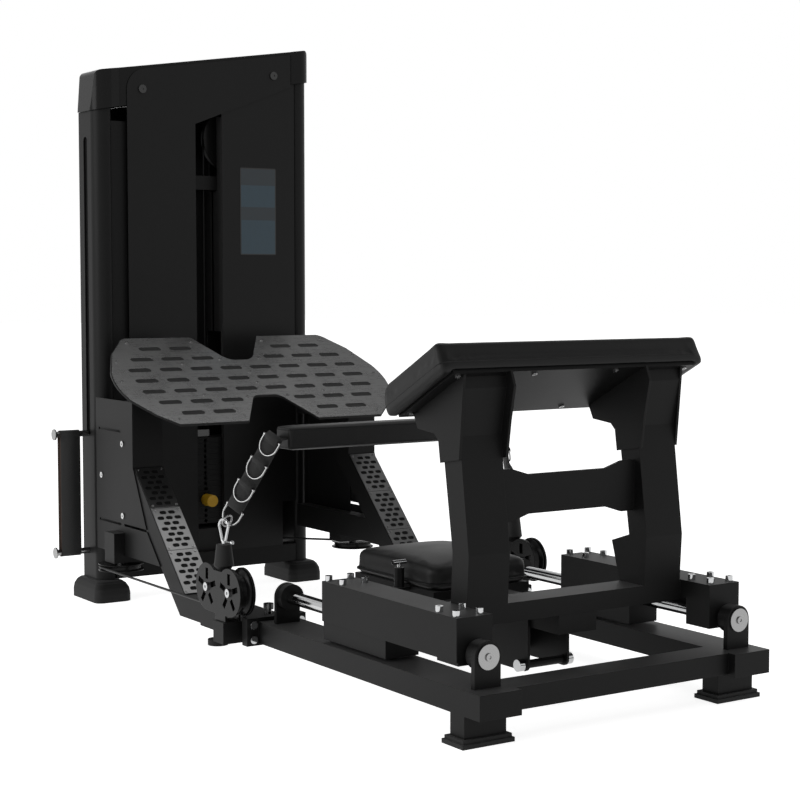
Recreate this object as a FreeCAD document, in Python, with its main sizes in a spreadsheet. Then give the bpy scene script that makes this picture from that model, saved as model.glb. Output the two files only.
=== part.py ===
"""Glute bridge machine: a sliding back pad carriage, a belt pulled up against a weight stack, and its tower.

The middle plane is x = 0, +y runs from the back pad to the tower, and z = 0 is the floor.
"""

import FreeCAD, Part
import math
import os
import Sketcher

V = FreeCAD.Vector
doc = FreeCAD.newDocument("GluteBridgeMachine")

# Driving sizes, in millimetres and degrees
sizes = {
    # Side rails, cross beam and the posts they stand on
    "side_mid": 330, "rail_wide": 100, "rail_high": 50, "rail_long": 860,
    "pad_high": 16.6, "pad_tier": 9, "pad_over": 12, "pad_inset": 4,
    "stub_high": 44.4, "stub_set": 50, "stub_deep": 47,
    "cross_set": 19, "cross_deep": 76, "cross_high": 45,
    # Bolted flange between the front and the rear frame
    "flange_thick": 12, "flange_in": 75, "flange_out": 80, "flange_drop": 5, "flange_high": 64,
    "flange_edge": 15, "flange_bolt_r": 5, "flange_head_r": 9, "flange_head_high": 7,
    # Guide rods, their brackets, bosses and end washers
    "rod_r": 15, "rod_up": 61.3, "rod_start": 43, "rod_set_back": 39,
    "bracket_wide": 62, "bracket_front": 12, "bracket_rear": 10, "boss_r": 30, "boss_long": 20,
    "washer_r": 25, "washer_thick": 4, "washer_screw_r": 8, "washer_screw_high": 3, "socket_r": 3.5,
    # Rail bumpers behind the flange
    "bumper_set": 19, "bumper_r": 12, "bumper_neck_r": 7, "bumper_foot": 6, "bumper_neck": 12, "bumper_head": 13,
    # Rear frame: low rails, slanted step legs, arms back to the tower
    "side_wide": 84, "leg_reach": 369, "leg_rise": 292, "leg_back": 83, "leg_post_deep": 62, "leg_post_high": 172,
    "arm_long": 237, "arm_wide": 44, "arm_low": 165, "arm_high": 65, "arm_top_low": 500, "arm_top_high": 60,
    "stub_over": 5, "stub_start": 26, "stub_side": 50,
    "level_pad_long": 70, "level_pad_wide": 60, "level_pad_high": 11, "level_gap": 95,
    "level_r": 25, "level_foot_high": 14, "level_stem_r": 8,
    # Perforated plates up the step legs
    "step_long": 134, "step_gap": 1.5, "step_set": 4, "step_thick": 2, "step_edge": 1.5,
    "step_hole_long": 19, "step_hole_wide": 11, "step_row_pitch": 17.6, "step_hole_pitch": 24,
    "step_screw_r": 3.5, "step_screw_high": 1.6, "step_screw_edge": 7,
    # Side covers, their slits and screws
    "cover_thick": 3, "cover_rear": 232, "cover_low": 165, "cover_nose": 159,
    "cover_chin": 82, "slit_high": 6.5, "slit_upper": 490, "slit_lower": 243, "slit_edge": 18,
    "slit_front_gap": 75, "slit_bridge": 20,
    "cover_screw_r": 8, "cover_screw_high": 3,
    # Foot plate: a board with a thin perforated sheet on it
    "foot_ahead": 145, "foot_up": 522, "foot_tilt": 31.17, "board_thick": 5, "sheet_thick": 1.5, "sheet_inset": 3,
    "foot_deep": 409, "foot_half": 412, "foot_notch": 107, "foot_notch_deep": 98, "notch_round": 60,
    "foot_slot_long": 66, "foot_slot_wide": 18, "foot_slot_pitch": 91, "foot_row_pitch": 50.3, "foot_row_set": 51,
    "foot_screw_r": 4.5, "foot_screw_high": 2, "support_wide": 60,
    # Tower posts, beams and feet
    "post_out": 337.6, "post_wide": 50, "post_deep": 114, "post_round": 34, "post_ease": 12,
    "post_slot_wide": 25, "post_slot_deep": 6, "post_slot_low": 462, "post_slot_high": 1275, "post_slot_set": 70,
    "closer_thick": 3, "closer_set": 4, "closer_lip": 16,
    "beam_deep": 50, "beam_low": 60, "beam_high": 51,
    "head_low": 1150, "head_high": 40, "head_deep": 44, "ear_thick": 5, "ear_wide": 50, "ear_over": 25,
    "tower_foot_high": 58, "tower_foot_base": 22, "tower_foot_in": 32.6, "tower_foot_out": 24.4,
    "tower_foot_front": 32, "tower_foot_rear": 37, "tower_foot_round": 22,
    # Slanted cap over the tower
    "cap_half": 343, "cap_end_left": 266, "cap_end_right": 276, "cap_flank_left": 26, "cap_flank_right": 10,
    "cap_deep": 108, "cap_proud": 8, "cap_flare": 8,
    "cap_low_left": 1356, "cap_low_right": 1472, "cap_high_left": 107, "cap_high_right": 93,
    "cap_end_round": 38, "cap_top_round": 16,
    # Front and rear panels of the tower
    "panel_thick": 3, "panel_low": 111, "panel_left": 244, "window_left": 35, "window_right": 50, "band_end": 275,
    "panel_round": 60, "band_low_left": 1332, "band_low_right": 1453, "panel_top_gap": 9,
    "return_deep": 56, "rear_return_deep": 43, "return_low": 14, "return_high": 33, "return_gap": 3,
    "rear_half": 300, "cable_notch": 20, "cable_notch_high": 129, "strip_set": 12, "strip_lap": 4, "strip_gap": 26,
    "panel_screw_r": 11.5, "panel_screw_high": 4, "panel_screw_set": 46,
    # Weight stack
    "plate_pitch": 15.5, "plate_gap": 0.4, "plate_half": 125, "plate_deep": 80, "plate_set": 18,
    "plate_count": 16, "resting_count": 4, "stack_low": 191,
    "guide_r": 10, "guide_x": 95, "guide_gap": 1, "stem_r": 12, "stem_gap": 1, "stem_low_gap": 4,
    "pin_r": 4.5, "pin_gap": 0.5, "pin_long": 76, "knob_r": 17, "knob_long": 40, "knob_grip": 3,
    "stack_base_half": 112, "cushion_high": 15, "cushion_r": 24,
    "yoke_half": 28, "yoke_deep": 24, "yoke_high": 22, "lift_travel": 300, "lift_gap": 6,
    "lanyard_r": 1.5,
    # Cables and the pulleys they run on
    "cable_r": 3, "cable_out": 90, "cable_turn": 43.5, "drop_x": 20, "groove_slack": 0.8,
    "heart_shift": 11, "pulley_pitch": 108, "pulley_rise": 72, "groove_r": 48, "flange_rim": 5,
    "pulley_wide": 26, "pulley_side_gap": 2, "axle_r": 6, "axle_gap": 0.08, "axle_head_r": 10, "axle_head_high": 5,
    "heart_r": 56, "heart_thick": 5, "heart_notch": 44,
    "star_in": 18, "star_out": 44, "star_wide": 13,
    "corner_back": 40, "corner_groove_r": 56, "corner_rim": 4, "corner_wide": 18,
    "corner_box_deep": 60, "corner_box_base": 20, "corner_box_high": 60, "corner_box_back": 13, "corner_box_in": 15,
    "centre_groove_r": 30, "centre_rim": 4, "centre_wide": 16, "clevis_gap": 1, "clevis_thick": 4, "clevis_wide": 28,
    "head_rim": 3, "head_wide": 20, "head_up": 1296,
    # Belt pad, straps, rings, hooks and stopper cones
    "belt_half": 294, "belt_ahead": 86, "belt_deep": 69, "belt_low": 498, "belt_high": 56, "belt_round": 16,
    "strap_wide": 50, "strap_thick": 4, "strap_out": 32, "strap_ahead": 15, "strap_twist": 24, "strap_bend": 8,
    "strap_in": 23.5, "strap_front": 12, "strap_end_up": 80, "rest_gap": 0.3,
    "ring_r": 14, "ring_wire": 2, "ring_drop": 34, "ring_side": 3,
    "dee_r": 26.5, "dee_wire": 2, "dee_bar": 2.4, "dee_leg": 14.5,
    "hook_turn": 74, "hook_half": 15, "hook_low_half": 6, "hook_long": 58, "hook_wire": 3, "eye_r": 5, "eye_high": 6,
    "ball_r": 5, "ball_set": 27,
    "cone_tip_r": 15, "cone_r": 23.5, "cone_flare": 10.6, "cone_top_r": 17.5, "cone_high": 59.6,
    # Sliding carriage
    "box_wide": 86, "box_gap": 11, "box_long": 503, "box_rise": 71.7, "box_tube": 38,
    "box_skirt": 49, "skirt_thick": 4,
    "bearing_drop": 22.3, "bearing_long": 72, "slider_long": 246, "slider_gap": 6, "bore_gap": 0.3,
    "cap_screw_r": 8, "cap_screw_high": 12, "cap_screw_in": 24, "cap_screw_out": 31,
    "cap_screw_near": 18, "cap_screw_far": 76, "yoke_beam_set": 90, "yoke_beam_deep": 80, "yoke_beam_high": 40,
    "upright_in": 182, "upright_out": 284, "upright_deep": 56, "upright_high": 462, "gusset_thick": 6,
    "web_thick": 8, "web_set": 35, "web_low": 159, "web_high": 109, "web_waist": 82, "web_shoulder": 147,
    "web_neck": 103, "foot_gusset_thick": 10,
    # Back pad and its board
    "back_set": -9.4, "back_rise": 470.3, "back_tilt": 27, "back_long": 238, "back_half": 348, "back_thick": 70,
    "back_board": 10, "back_inset": 10, "back_board_end": 30, "back_lap": 8.5, "back_round": 14,
    "back_rear_round": 40, "back_screw_r": 6, "back_screw_high": 3,
    # Seat, its frame and the pull pin
    "seat_half": 138, "seat_set": 421, "seat_long": 338, "seat_thick": 42, "seat_crown": 30,
    "seat_board": 6, "seat_tray": 14, "seat_inset": 6, "seat_round": 16, "seat_corner": 30, "seat_draw": 2,
    "spine_half": 50, "spine_high": 40, "spine_long": 624,
    "hanger_thick": 6, "hanger_set": 96, "hanger_high": 136, "hanger_rear": 150, "hanger_round": 14,
    "roller_r": 9, "roller_set": 17, "roller_up": 13, "roller_head_r": 13, "roller_head_high": 16,
    "lock_x": 155, "lock_set": 109, "lock_tab": 28, "barrel_r": 11.5, "barrel_high": 44, "lock_r": 5, "lock_gap": 0.4,
    "lock_grip": 34, "lock_stand": 12, "lock_nose": 9,
    # Pegs on the tower's left post and the stretch band between them
    "peg_set": 76, "peg_low": 135, "peg_high": 465, "peg_r": 8.5, "peg_long": 98, "peg_disc_r": 15.5, "peg_disc": 4,
    "band_thick": 2.5, "band_wide": 58, "band_gap": 0.3, "band_end_gap": 12,
    # How far a cutting tool passes the faces it cuts
    "overrun": 2,
}


def text_of(thing):
    """The sheet formula of a size, or the plain text of a share."""
    return thing.text if isinstance(thing, Size) else f"({thing})"


def value_of(thing):
    """The number that a size or a share holds."""
    return thing.value if isinstance(thing, Size) else float(thing)


class Size:
    """A size of the machine: its number, and the sheet formula that gives it."""

    def __init__(self, value, text):
        self.value = value
        self.text = text

    def __add__(self, other):
        return Size(self.value + value_of(other), f"({self.text} + {text_of(other)})")

    def __radd__(self, other):
        return Size(value_of(other) + self.value, f"({text_of(other)} + {self.text})")

    def __sub__(self, other):
        return Size(self.value - value_of(other), f"({self.text} - {text_of(other)})")

    def __rsub__(self, other):
        return Size(value_of(other) - self.value, f"({text_of(other)} - {self.text})")

    def __mul__(self, other):
        return Size(self.value * value_of(other), f"({self.text} * {text_of(other)})")

    def __rmul__(self, other):
        return Size(value_of(other) * self.value, f"({text_of(other)} * {self.text})")

    def __truediv__(self, other):
        return Size(self.value / value_of(other), f"({self.text} / {text_of(other)})")

    def __neg__(self):
        return Size(-self.value, f"(0 - {self.text})")


def sine(angle):
    return Size(math.sin(math.radians(value_of(angle))), f"sin({text_of(angle)})")


def cosine(angle):
    return Size(math.cos(math.radians(value_of(angle))), f"cos({text_of(angle)})")


def tangent(angle):
    return Size(math.tan(math.radians(value_of(angle))), f"tan({text_of(angle)})")


class Sheet:
    """The driving sizes as attributes, each one a cell of the document's spreadsheet."""

    def __init__(self, values):
        sheet = doc.addObject("Spreadsheet::Sheet", "Sizes")
        for row, (name, value) in enumerate(values.items(), 1):
            sheet.set(f"A{row}", name)
            sheet.set(f"B{row}", str(value))
            sheet.setAlias(f"B{row}", name)
        doc.recompute()
        for name in values:
            setattr(self, name, Size(float(sheet.get(name)), f"Sizes.{name}"))


k = Sheet(sizes)


def bind(thing, **formulas):
    for name, size in formulas.items():
        thing.setExpression(name, text_of(size))


def put(thing, x=0, y=0, z=0):
    for axis, size in zip("xyz", (x, y, z)):
        thing.setExpression(f"Placement.Base.{axis}", text_of(size))
    return thing


def block(x, y, z):
    """A box from the low to the high place on each axis."""
    box = doc.addObject("Part::Box", "Block")
    for side, (low, high) in zip(("Length", "Width", "Height"), (x, y, z)):
        box.setExpression(side, text_of(high - low))
    return put(box, x[0], y[0], z[0])


TURNS = {
    "x": FreeCAD.Rotation(V(0, 1, 0), 90),
    "y": FreeCAD.Rotation(V(1, 0, 0), -90),
    "z": FreeCAD.Rotation(),
}


def along(thing, axis, place, low):
    """Turns a piece made along z to lie along an axis, at a place on the other two and from a low end."""
    thing.Placement = FreeCAD.Placement(V(), TURNS[axis])
    spots = list(place)
    spots.insert("xyz".index(axis), low)
    return put(thing, *spots)


def rod(axis, place, span, radius):
    """A round bar along an axis, from the low to the high place on it."""
    bar = doc.addObject("Part::Cylinder", "Rod")
    bind(bar, Radius=radius, Height=span[1] - span[0])
    return along(bar, axis, place, span[0])


def cone(axis, place, span, radii):
    bar = doc.addObject("Part::Cone", "Cone")
    bind(bar, Radius1=radii[0], Radius2=radii[1], Height=span[1] - span[0])
    return along(bar, axis, place, span[0])


def placed(thing, x=0, y=0, z=0, axis=None, angle=0):
    """One more copy of a piece, turned about an axis through its origin and then moved."""
    copy = doc.addObject("Part::Compound", "Placed")
    copy.Links = [thing]
    if axis:
        copy.Placement = FreeCAD.Placement(V(), FreeCAD.Rotation(V(*axis), value_of(angle)))
        bind(copy, **{"Placement.Rotation.Angle": angle})
    return put(copy, x, y, z)


def mirrored(thing):
    copy = doc.addObject("Part::Mirroring", "Mirrored")
    copy.Source = thing
    copy.Normal = V(1, 0, 0)
    return copy


def both(*things):
    """Right-hand pieces with their mirror images on the left."""
    return list(things) + [mirrored(thing) for thing in things]


def joined(*things):
    whole = doc.addObject("Part::MultiFuse", "Joined")
    whole.Shapes = list(things)
    whole.Refine = True
    return whole


def group(things):
    whole = doc.addObject("Part::Compound", "Group")
    whole.Links = list(things)
    return whole


def cut(thing, *tools):
    rest = doc.addObject("Part::Cut", "Cut")
    rest.Base = thing
    rest.Tool = tools[0] if len(tools) == 1 else group(tools)
    return rest


def rounded(thing, radius, chosen):
    """Fillets the edges whose ends pass the test."""
    doc.recompute()
    fillet = doc.addObject("Part::Fillet", "Rounded")
    fillet.Base = thing
    edges = enumerate(thing.Shape.Edges, 1)
    picked = [i for i, edge in edges if chosen([vertex.Point for vertex in edge.Vertexes])]
    fillet.Edges = [(i, radius.value, radius.value) for i in picked]
    return fillet


def near(a, b):
    return abs(a - value_of(b)) < math.pow(10, -4)


def on(**places):
    """A test for edges that lie at given places."""
    return lambda ends: all(near(getattr(end, axis), size) for end in ends for axis, size in places.items())


def upright(ends):
    """A test for vertical edges."""
    return near(ends[0].x, ends[-1].x) and near(ends[0].y, ends[-1].y)


PLANES = {"x": "YZ_Plane", "y": "XZ_Plane", "z": "XY_Plane"}


def arc_between(start, end, radius):
    """An arc with its centre to the left of the way from start to end, or to the right where radius is negative."""
    way = end - start
    half = way.Length / 2
    side = V(-way.y, way.x, 0).normalize() * math.copysign(math.sqrt(max(radius * radius - half * half, 0)), radius)
    centre = (start + end) / 2 + side
    ends = [math.atan2((p - centre).y, (p - centre).x) for p in (start, end)]
    if radius < 0:
        ends.reverse()
    return Part.ArcOfCircle(Part.Circle(centre, V(0, 0, 1), abs(radius)), *ends)


def prism(axis, outline, span):
    """A bar or plate: a closed outline of (u, v) corners padded along an axis.

    A corner with a third value is reached by an arc of that radius.
    """
    body = doc.addObject("PartDesign::Body", "Body")
    sketch = body.newObject("Sketcher::SketchObject", "Outline")
    plane = [item for item in body.Origin.OriginFeatures if item.Role == PLANES[axis]]
    sketch.AttachmentSupport = (plane[0], [""])
    sketch.MapMode = "FlatFace"
    spots = [V(value_of(p[0]), value_of(p[1]), 0) for p in outline]
    heads = []
    curves = []
    for i, start in enumerate(spots):
        turn = (i + 1) % len(spots)
        radius = value_of(outline[turn][2]) if len(outline[turn]) > 2 else 0
        heads.append(2 if radius < 0 else 1)
        curves.append(arc_between(start, spots[turn], radius) if radius else Part.LineSegment(start, spots[turn]))
    sketch.addGeometry(curves)
    rules = []
    formulas = {}
    for i, corner in enumerate(outline):
        turn = (i + 1) % len(outline)
        rules.append(Sketcher.Constraint("Coincident", i, 3 - heads[i], turn, heads[turn]))
        for kind, size in zip(("DistanceX", "DistanceY"), corner):
            formulas[len(rules)] = size
            rules.append(Sketcher.Constraint(kind, i, heads[i], value_of(size)))
        if len(outline[turn]) > 2:
            bulge = outline[turn][2]
            formulas[len(rules)] = -bulge if value_of(bulge) < 0 else bulge
            rules.append(Sketcher.Constraint("Radius", i, abs(value_of(bulge))))
    sketch.addConstraint(rules)
    for i, size in formulas.items():
        sketch.setExpression(f"Constraints[{i}]", text_of(size))
    pad = body.newObject("PartDesign::Pad", "Pad")
    pad.Profile = sketch
    pad.Reversed = axis == "y"
    bind(pad, Length=span[1] - span[0])
    return put(body, **{axis: span[0]})


def shaped(shape):
    """A piece whose shape comes from lofts or sweeps."""
    feature = doc.addObject("Part::Feature", "Shaped")
    feature.Shape = shape
    return feature


def slot(long, wide, span):
    """A cutting tool for one oblong hole, lying along x about the origin."""
    reach = (long - wide) / 2
    ends = [rod("z", (x, 0), span, wide / 2) for x in (-reach, reach)]
    return joined(block((-reach, reach), (-wide / 2, wide / 2), span), *ends)


def screw(radius, high, socket, axis="z", way=1):
    """A round screw head with a socket in its top, standing on the origin."""
    span = (0, high) if way > 0 else (-high, 0)
    deep = (high / 2, high + k.overrun) if way > 0 else (-high - k.overrun, -high / 2)
    return cut(rod(axis, (0, 0), span, radius), rod(axis, (0, 0), deep, socket))


nodes = []


def node(name, *solids, tilt=None, at=(0, 0, 0)):
    """A named sub-part; a tilted one turns about x through the place where it stands."""
    whole = doc.addObject("Part::Compound", name)
    whole.Label = name
    whole.Links = list(solids)
    if tilt:
        whole.Placement = FreeCAD.Placement(V(), FreeCAD.Rotation(V(1, 0, 0), value_of(tilt)))
        bind(whole, **{"Placement.Rotation.Angle": tilt})
    nodes.append(put(whole, at[0], at[1] - machine_mid, at[2]))


# The step legs rise at half a right angle
LEG_SLOPE = 45

# Levels and lines that several pieces share
rail_low = k.pad_high + k.stub_high
rail_top = rail_low + k.rail_high
rail_in = k.side_mid - k.rail_wide / 2
rail_out = k.side_mid + k.rail_wide / 2
rod_z = rail_top + k.rod_up
rod_end = k.rail_long - k.rod_set_back
flange_low = rail_low - k.flange_drop
flange_mid = k.rail_long + k.flange_thick
flange_end = flange_mid + k.flange_thick
side_in = k.side_mid - k.side_wide / 2
side_out = k.side_mid + k.side_wide / 2
leg_foot = flange_end + k.leg_reach
leg_front = leg_foot + k.leg_rise
foot_front = leg_front - k.foot_ahead
leg_knee = rail_top + k.leg_rise
leg_top = leg_knee + k.leg_post_high
leg_rear = leg_front + k.leg_post_deep
post_front = leg_rear + k.arm_long
post_rear = post_front + k.post_deep
post_in = k.post_out - k.post_wide
machine_mid = (post_rear + k.tower_foot_rear) / 2
beam_top = k.beam_low + k.beam_high
stack_mid = post_front + k.plate_set + k.plate_deep / 2
stack_top = k.stack_low + k.plate_count * k.plate_pitch - k.plate_gap
lift_clear = stack_top + k.lift_travel + k.lift_gap
panel_front = post_front - k.panel_thick

# The cable's route on the right: up between the bracket's pulleys, back along the floor, round the corner
# pulley, under the centre pulley, up inside the tower and over the head pulley to the stack
cable_x = k.side_mid + k.cable_out
stub_mid = flange_end + k.stub_start + k.stub_side / 2
stub_top = flange_low + k.stub_side
pulley_z = stub_top + k.pulley_rise
rear_pulley_y = stub_mid + k.heart_shift + k.pulley_pitch / 2
front_pulley_y = rear_pulley_y - k.pulley_pitch
cable_y = rear_pulley_y - k.groove_r
cable_low = pulley_z - k.groove_r
corner_x = cable_x - k.corner_groove_r
corner_y = leg_rear + k.corner_back
leave_x = corner_x + k.corner_groove_r * cosine(k.cable_turn)
leave_y = corner_y + k.corner_groove_r * sine(k.cable_turn)
rise_x = leave_x - (stack_mid - leave_y) * tangent(k.cable_turn)
centre_x = rise_x + k.centre_groove_r * sine(k.cable_turn)
centre_y = stack_mid - k.centre_groove_r * cosine(k.cable_turn)
centre_z = cable_low + k.centre_groove_r
head_groove_r = (rise_x - k.drop_x) / 2
head_x = k.drop_x + head_groove_r
heart_half = k.pulley_wide / 2 + k.pulley_side_gap

# The belt's chain of parts, from the cable up to the pad
cone_low = pulley_z + k.heart_notch + k.rest_gap
cone_top = cone_low + k.cone_high
hook_z = cone_top + k.eye_high - k.hook_wire

# Lines of the sliding carriage
box_front = k.rod_start + k.bracket_front + k.boss_long + k.box_gap
box_top = rod_z + k.box_rise
box_in = k.side_mid - k.box_wide / 2
box_out = k.side_mid + k.box_wide / 2
yoke_y = box_front + k.yoke_beam_set
yoke_top = box_top - k.box_tube / 10
back_front = yoke_y + k.back_set
back_up = box_top + k.back_rise
spine_top = yoke_top - k.yoke_beam_high
seat_front = box_front + k.seat_set
seat_low = spine_top + k.seat_board


def cap_under(x):
    """Height of the cap's slanted underside."""
    rise = (k.cap_low_right - k.cap_low_left) / (2 * k.cap_half)
    return k.cap_low_left + rise * (x + k.cap_half)


def cap_over(x):
    """Height of the cap's slanted top."""
    low = k.cap_low_left + k.cap_high_left
    high = k.cap_low_right + k.cap_high_right
    return low + (high - low) / (2 * k.cap_half) * (x + k.cap_half)


def foot_plate_under(y):
    """Height of the foot plate's underside."""
    return k.foot_up + tangent(k.foot_tilt) * (y - foot_front) - k.board_thick / cosine(k.foot_tilt)


def back_under(y):
    """Height of the back pad board's underside."""
    return back_up - tangent(k.back_tilt) * (y - back_front)


def leg_middle(z):
    """Where the middle of the slanted step leg is, at a height."""
    return leg_foot + z - rail_top + k.leg_back / 2


def base_frame():
    """Side rails with their posts, cross beam, flange halves and rod brackets."""
    rail = block((rail_in, rail_out), (0, k.rail_long), (rail_low, rail_top))
    post = block((rail_in, rail_out), (k.stub_set, k.stub_set + k.stub_deep), (k.pad_high, rail_low))
    flange = flange_plate(k.rail_long)
    half = k.bracket_wide / 2
    parts = [rail, post, flange]
    for start, thick, boss in (
        (k.rod_start, k.bracket_front, k.rod_start + k.bracket_front),
        (rod_end - k.bracket_rear, k.bracket_rear, rod_end - k.bracket_rear - k.boss_long),
    ):
        parts.append(block((k.side_mid - half, k.side_mid + half), (start, start + thick), (rail_top, rod_z)))
        parts.append(rod("y", (k.side_mid, rod_z), (start, start + thick), half))
        parts.append(rod("y", (k.side_mid, rod_z), (boss, boss + k.boss_long), k.boss_r))
    bore = rod("y", (k.side_mid, rod_z), (k.rod_start, rod_end), k.rod_r)
    side = cut(joined(*parts), bore)
    beam = block((-rail_in, rail_in), (k.cross_set, k.cross_set + k.cross_deep), (rail_top - k.cross_high, rail_top))
    node("base_frame", joined(side, mirrored(side), beam))


def flange_plate(start):
    """One half of the bolted flange, with its outline over the rail's end."""
    x = (k.side_mid - k.flange_in, k.side_mid + k.flange_out)
    plate = block(x, (start, start + k.flange_thick), (flange_low, flange_low + k.flange_high))
    holes = [rod("y", spot, (start - k.overrun, start + k.flange_thick + k.overrun), k.flange_bolt_r)
             for spot in flange_spots()]
    return cut(plate, *holes)


def flange_spots():
    x_in = k.side_mid - k.flange_in + k.flange_edge
    x_out = k.side_mid + k.flange_out - k.flange_edge
    z_mid = flange_low + k.flange_high / 2
    return [(x, z_mid + side * (k.flange_high / 2 - k.flange_edge)) for x in (x_in, x_out) for side in (-1, 1)]


def flange_bolts():
    bolts = []
    for spot in flange_spots():
        shank = rod("y", spot, (k.rail_long - k.flange_head_high, flange_end + k.flange_head_high), k.flange_bolt_r)
        head = rod("y", spot, (k.rail_long - k.flange_head_high, k.rail_long), k.flange_head_r)
        nut = rod("y", spot, (flange_end, flange_end + k.flange_head_high), k.flange_head_r)
        bolts.append(joined(shank, head, nut))
    node("flange_bolts", *both(*bolts))


def base_feet():
    """Two-tier rubber pads under the front posts, and levelling feet under the rear rails."""
    x = (rail_in - k.pad_over, rail_out + k.pad_over)
    y = (k.stub_set - k.pad_over, k.stub_set + k.stub_deep + k.pad_over)
    lower = block(x, y, (0, k.pad_tier))
    inset = k.pad_inset
    upper = block((x[0] + inset, x[1] - inset), (y[0] + inset, y[1] - inset), (k.pad_tier, k.pad_high))
    y_mid = leg_foot - k.level_gap
    foot = rod("z", (k.side_mid, y_mid), (0, k.level_foot_high), k.level_r)
    stem = rod("z", (k.side_mid, y_mid), (k.level_foot_high, flange_low - k.level_pad_high), k.level_stem_r)
    top = (flange_low - k.level_pad_high, flange_low)
    wide = k.level_pad_wide / 2
    long = k.level_pad_long / 2
    seat = block((k.side_mid - wide, k.side_mid + wide), (y_mid - long, y_mid + long), top)
    node("base_feet", *both(joined(lower, upper), joined(foot, stem, seat)))


def guide_rods():
    bar = rod("y", (k.side_mid, rod_z), (k.rod_start, rod_end), k.rod_r)
    node("guide_rods", *both(bar))


def rod_end_caps():
    """Polished washers on the rods' front ends, each with a button screw."""
    start = k.rod_start - k.washer_thick
    washer = rod("y", (k.side_mid, rod_z), (start, k.rod_start), k.washer_r)
    head = screw(k.washer_screw_r, k.washer_screw_high, k.socket_r, "y", -1)
    node("rod_end_caps", *both(joined(washer, placed(head, k.side_mid, start, rod_z))))


def rail_bumpers():
    """Waisted stops on the rear rails."""
    y = flange_end + k.bumper_set
    neck = rail_top + k.bumper_foot
    head = neck + k.bumper_neck
    foot = rod("z", (k.side_mid, y), (rail_top, neck), k.bumper_r)
    waist = rod("z", (k.side_mid, y), (neck, head), k.bumper_neck_r)
    top = rod("z", (k.side_mid, y), (head, head + k.bumper_head), k.bumper_r)
    node("rail_bumpers", *both(joined(foot, waist, top)))


def rear_frame():
    """Low rear rails that turn up into the step legs, with cable stubs, arms and foot plate supports."""
    leg = [
        (flange_end, flange_low),
        (leg_foot - (rail_top - flange_low) + k.leg_back, flange_low),
        (leg_rear, leg_knee - k.leg_back + k.leg_post_deep),
        (leg_rear, leg_top),
        (leg_front, leg_top),
        (leg_front, leg_knee),
        (leg_foot, rail_top),
        (flange_end, rail_top),
    ]
    tube = prism("x", leg, (side_in, side_out))
    y = flange_end + k.stub_start
    stub_out = cable_x + heart_half + k.heart_thick + k.stub_over
    stub = block((side_out, stub_out), (y, y + k.stub_side), (flange_low, stub_top))
    arm_x = (k.post_out - k.arm_wide, k.post_out)
    low, high = k.arm_low, k.arm_low + k.arm_high
    ends = [(leg_middle(low), low), (post_front, low), (post_front, high), (leg_middle(high), high)]
    lower = prism("x", ends, arm_x)
    upper = block(arm_x, (leg_rear, post_front), (k.arm_top_low, k.arm_top_low + k.arm_top_high))
    outline = [
        (leg_front, leg_top),
        (leg_rear, leg_top),
        (leg_rear, foot_plate_under(leg_rear)),
        (leg_front, foot_plate_under(leg_front)),
    ]
    wide = k.support_wide / 2
    support = prism("x", outline, (k.side_mid - wide, k.side_mid + wide))
    side = joined(tube, stub, lower, upper, flange_plate(flange_mid), support)
    node("rear_frame", *both(side))


def step_local():
    """The step plates' frame: on the slanted leg, y runs up the slope and z stands off it."""
    return dict(tilt=LEG_SLOPE, at=(0, leg_foot, rail_top))


def step_starts():
    return [k.step_set + i * (k.step_long + k.step_gap) for i in range(3)]


def step_plates():
    """Three perforated plates up each leg: rows of two and three oblong holes by turns."""
    half = k.side_wide / 2 - k.step_edge
    hole = slot(k.step_hole_long, k.step_hole_wide, (-k.overrun, k.step_thick + k.overrun))
    plates = []
    for start in step_starts():
        plate = block((k.side_mid - half, k.side_mid + half), (start, start + k.step_long), (0, k.step_thick))
        holes = []
        for row in range(-3, 4):
            y = start + k.step_long / 2 + row * k.step_row_pitch
            for share in ((-0.5, 0.5) if row % 2 else (-1, 0, 1)):
                holes.append(placed(hole, k.side_mid + share * k.step_hole_pitch, y))
        plates.append(cut(plate, *holes))
    node("step_plates", *both(*plates), **step_local())


def step_plate_screws():
    head = screw(k.step_screw_r, k.step_screw_high, k.step_screw_r / 2)
    reach = k.side_wide / 2 - k.step_edge - k.step_screw_edge
    heads = []
    for start in step_starts():
        for side in (-1, 1):
            for y in (start + k.step_screw_edge, start + k.step_long - k.step_screw_edge):
                heads.append(placed(head, k.side_mid + side * reach, y, k.step_thick))
    node("step_plate_screws", *both(*heads), **step_local())


def side_covers():
    """Thin covers on the outer faces of the legs and arms, each with two long slits."""
    rear = leg_front + k.cover_rear
    outline = [
        (rear, k.cover_low),
        (rear, leg_top),
        (leg_front, leg_top),
        (leg_front, leg_knee),
        (leg_front - k.cover_chin, leg_knee - k.cover_nose),
        (leg_front - k.cover_nose, k.cover_low),
    ]
    span = (side_out, side_out + k.cover_thick)
    plate = prism("x", outline, span)
    through = (span[0] - k.overrun, span[1] + k.overrun)
    upper = (k.slit_upper, k.slit_upper + k.slit_high)
    lower = (k.slit_lower, k.slit_lower + k.slit_high)
    front = leg_front + k.slit_front_gap
    slits = [
        block(through, (front, rear - k.slit_edge), upper),
        block(through, (leg_front - k.cover_chin, front - k.slit_bridge), lower),
        block(through, (front, rear - k.slit_edge), lower),
    ]
    node("side_covers", *both(cut(plate, *slits)))


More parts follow.
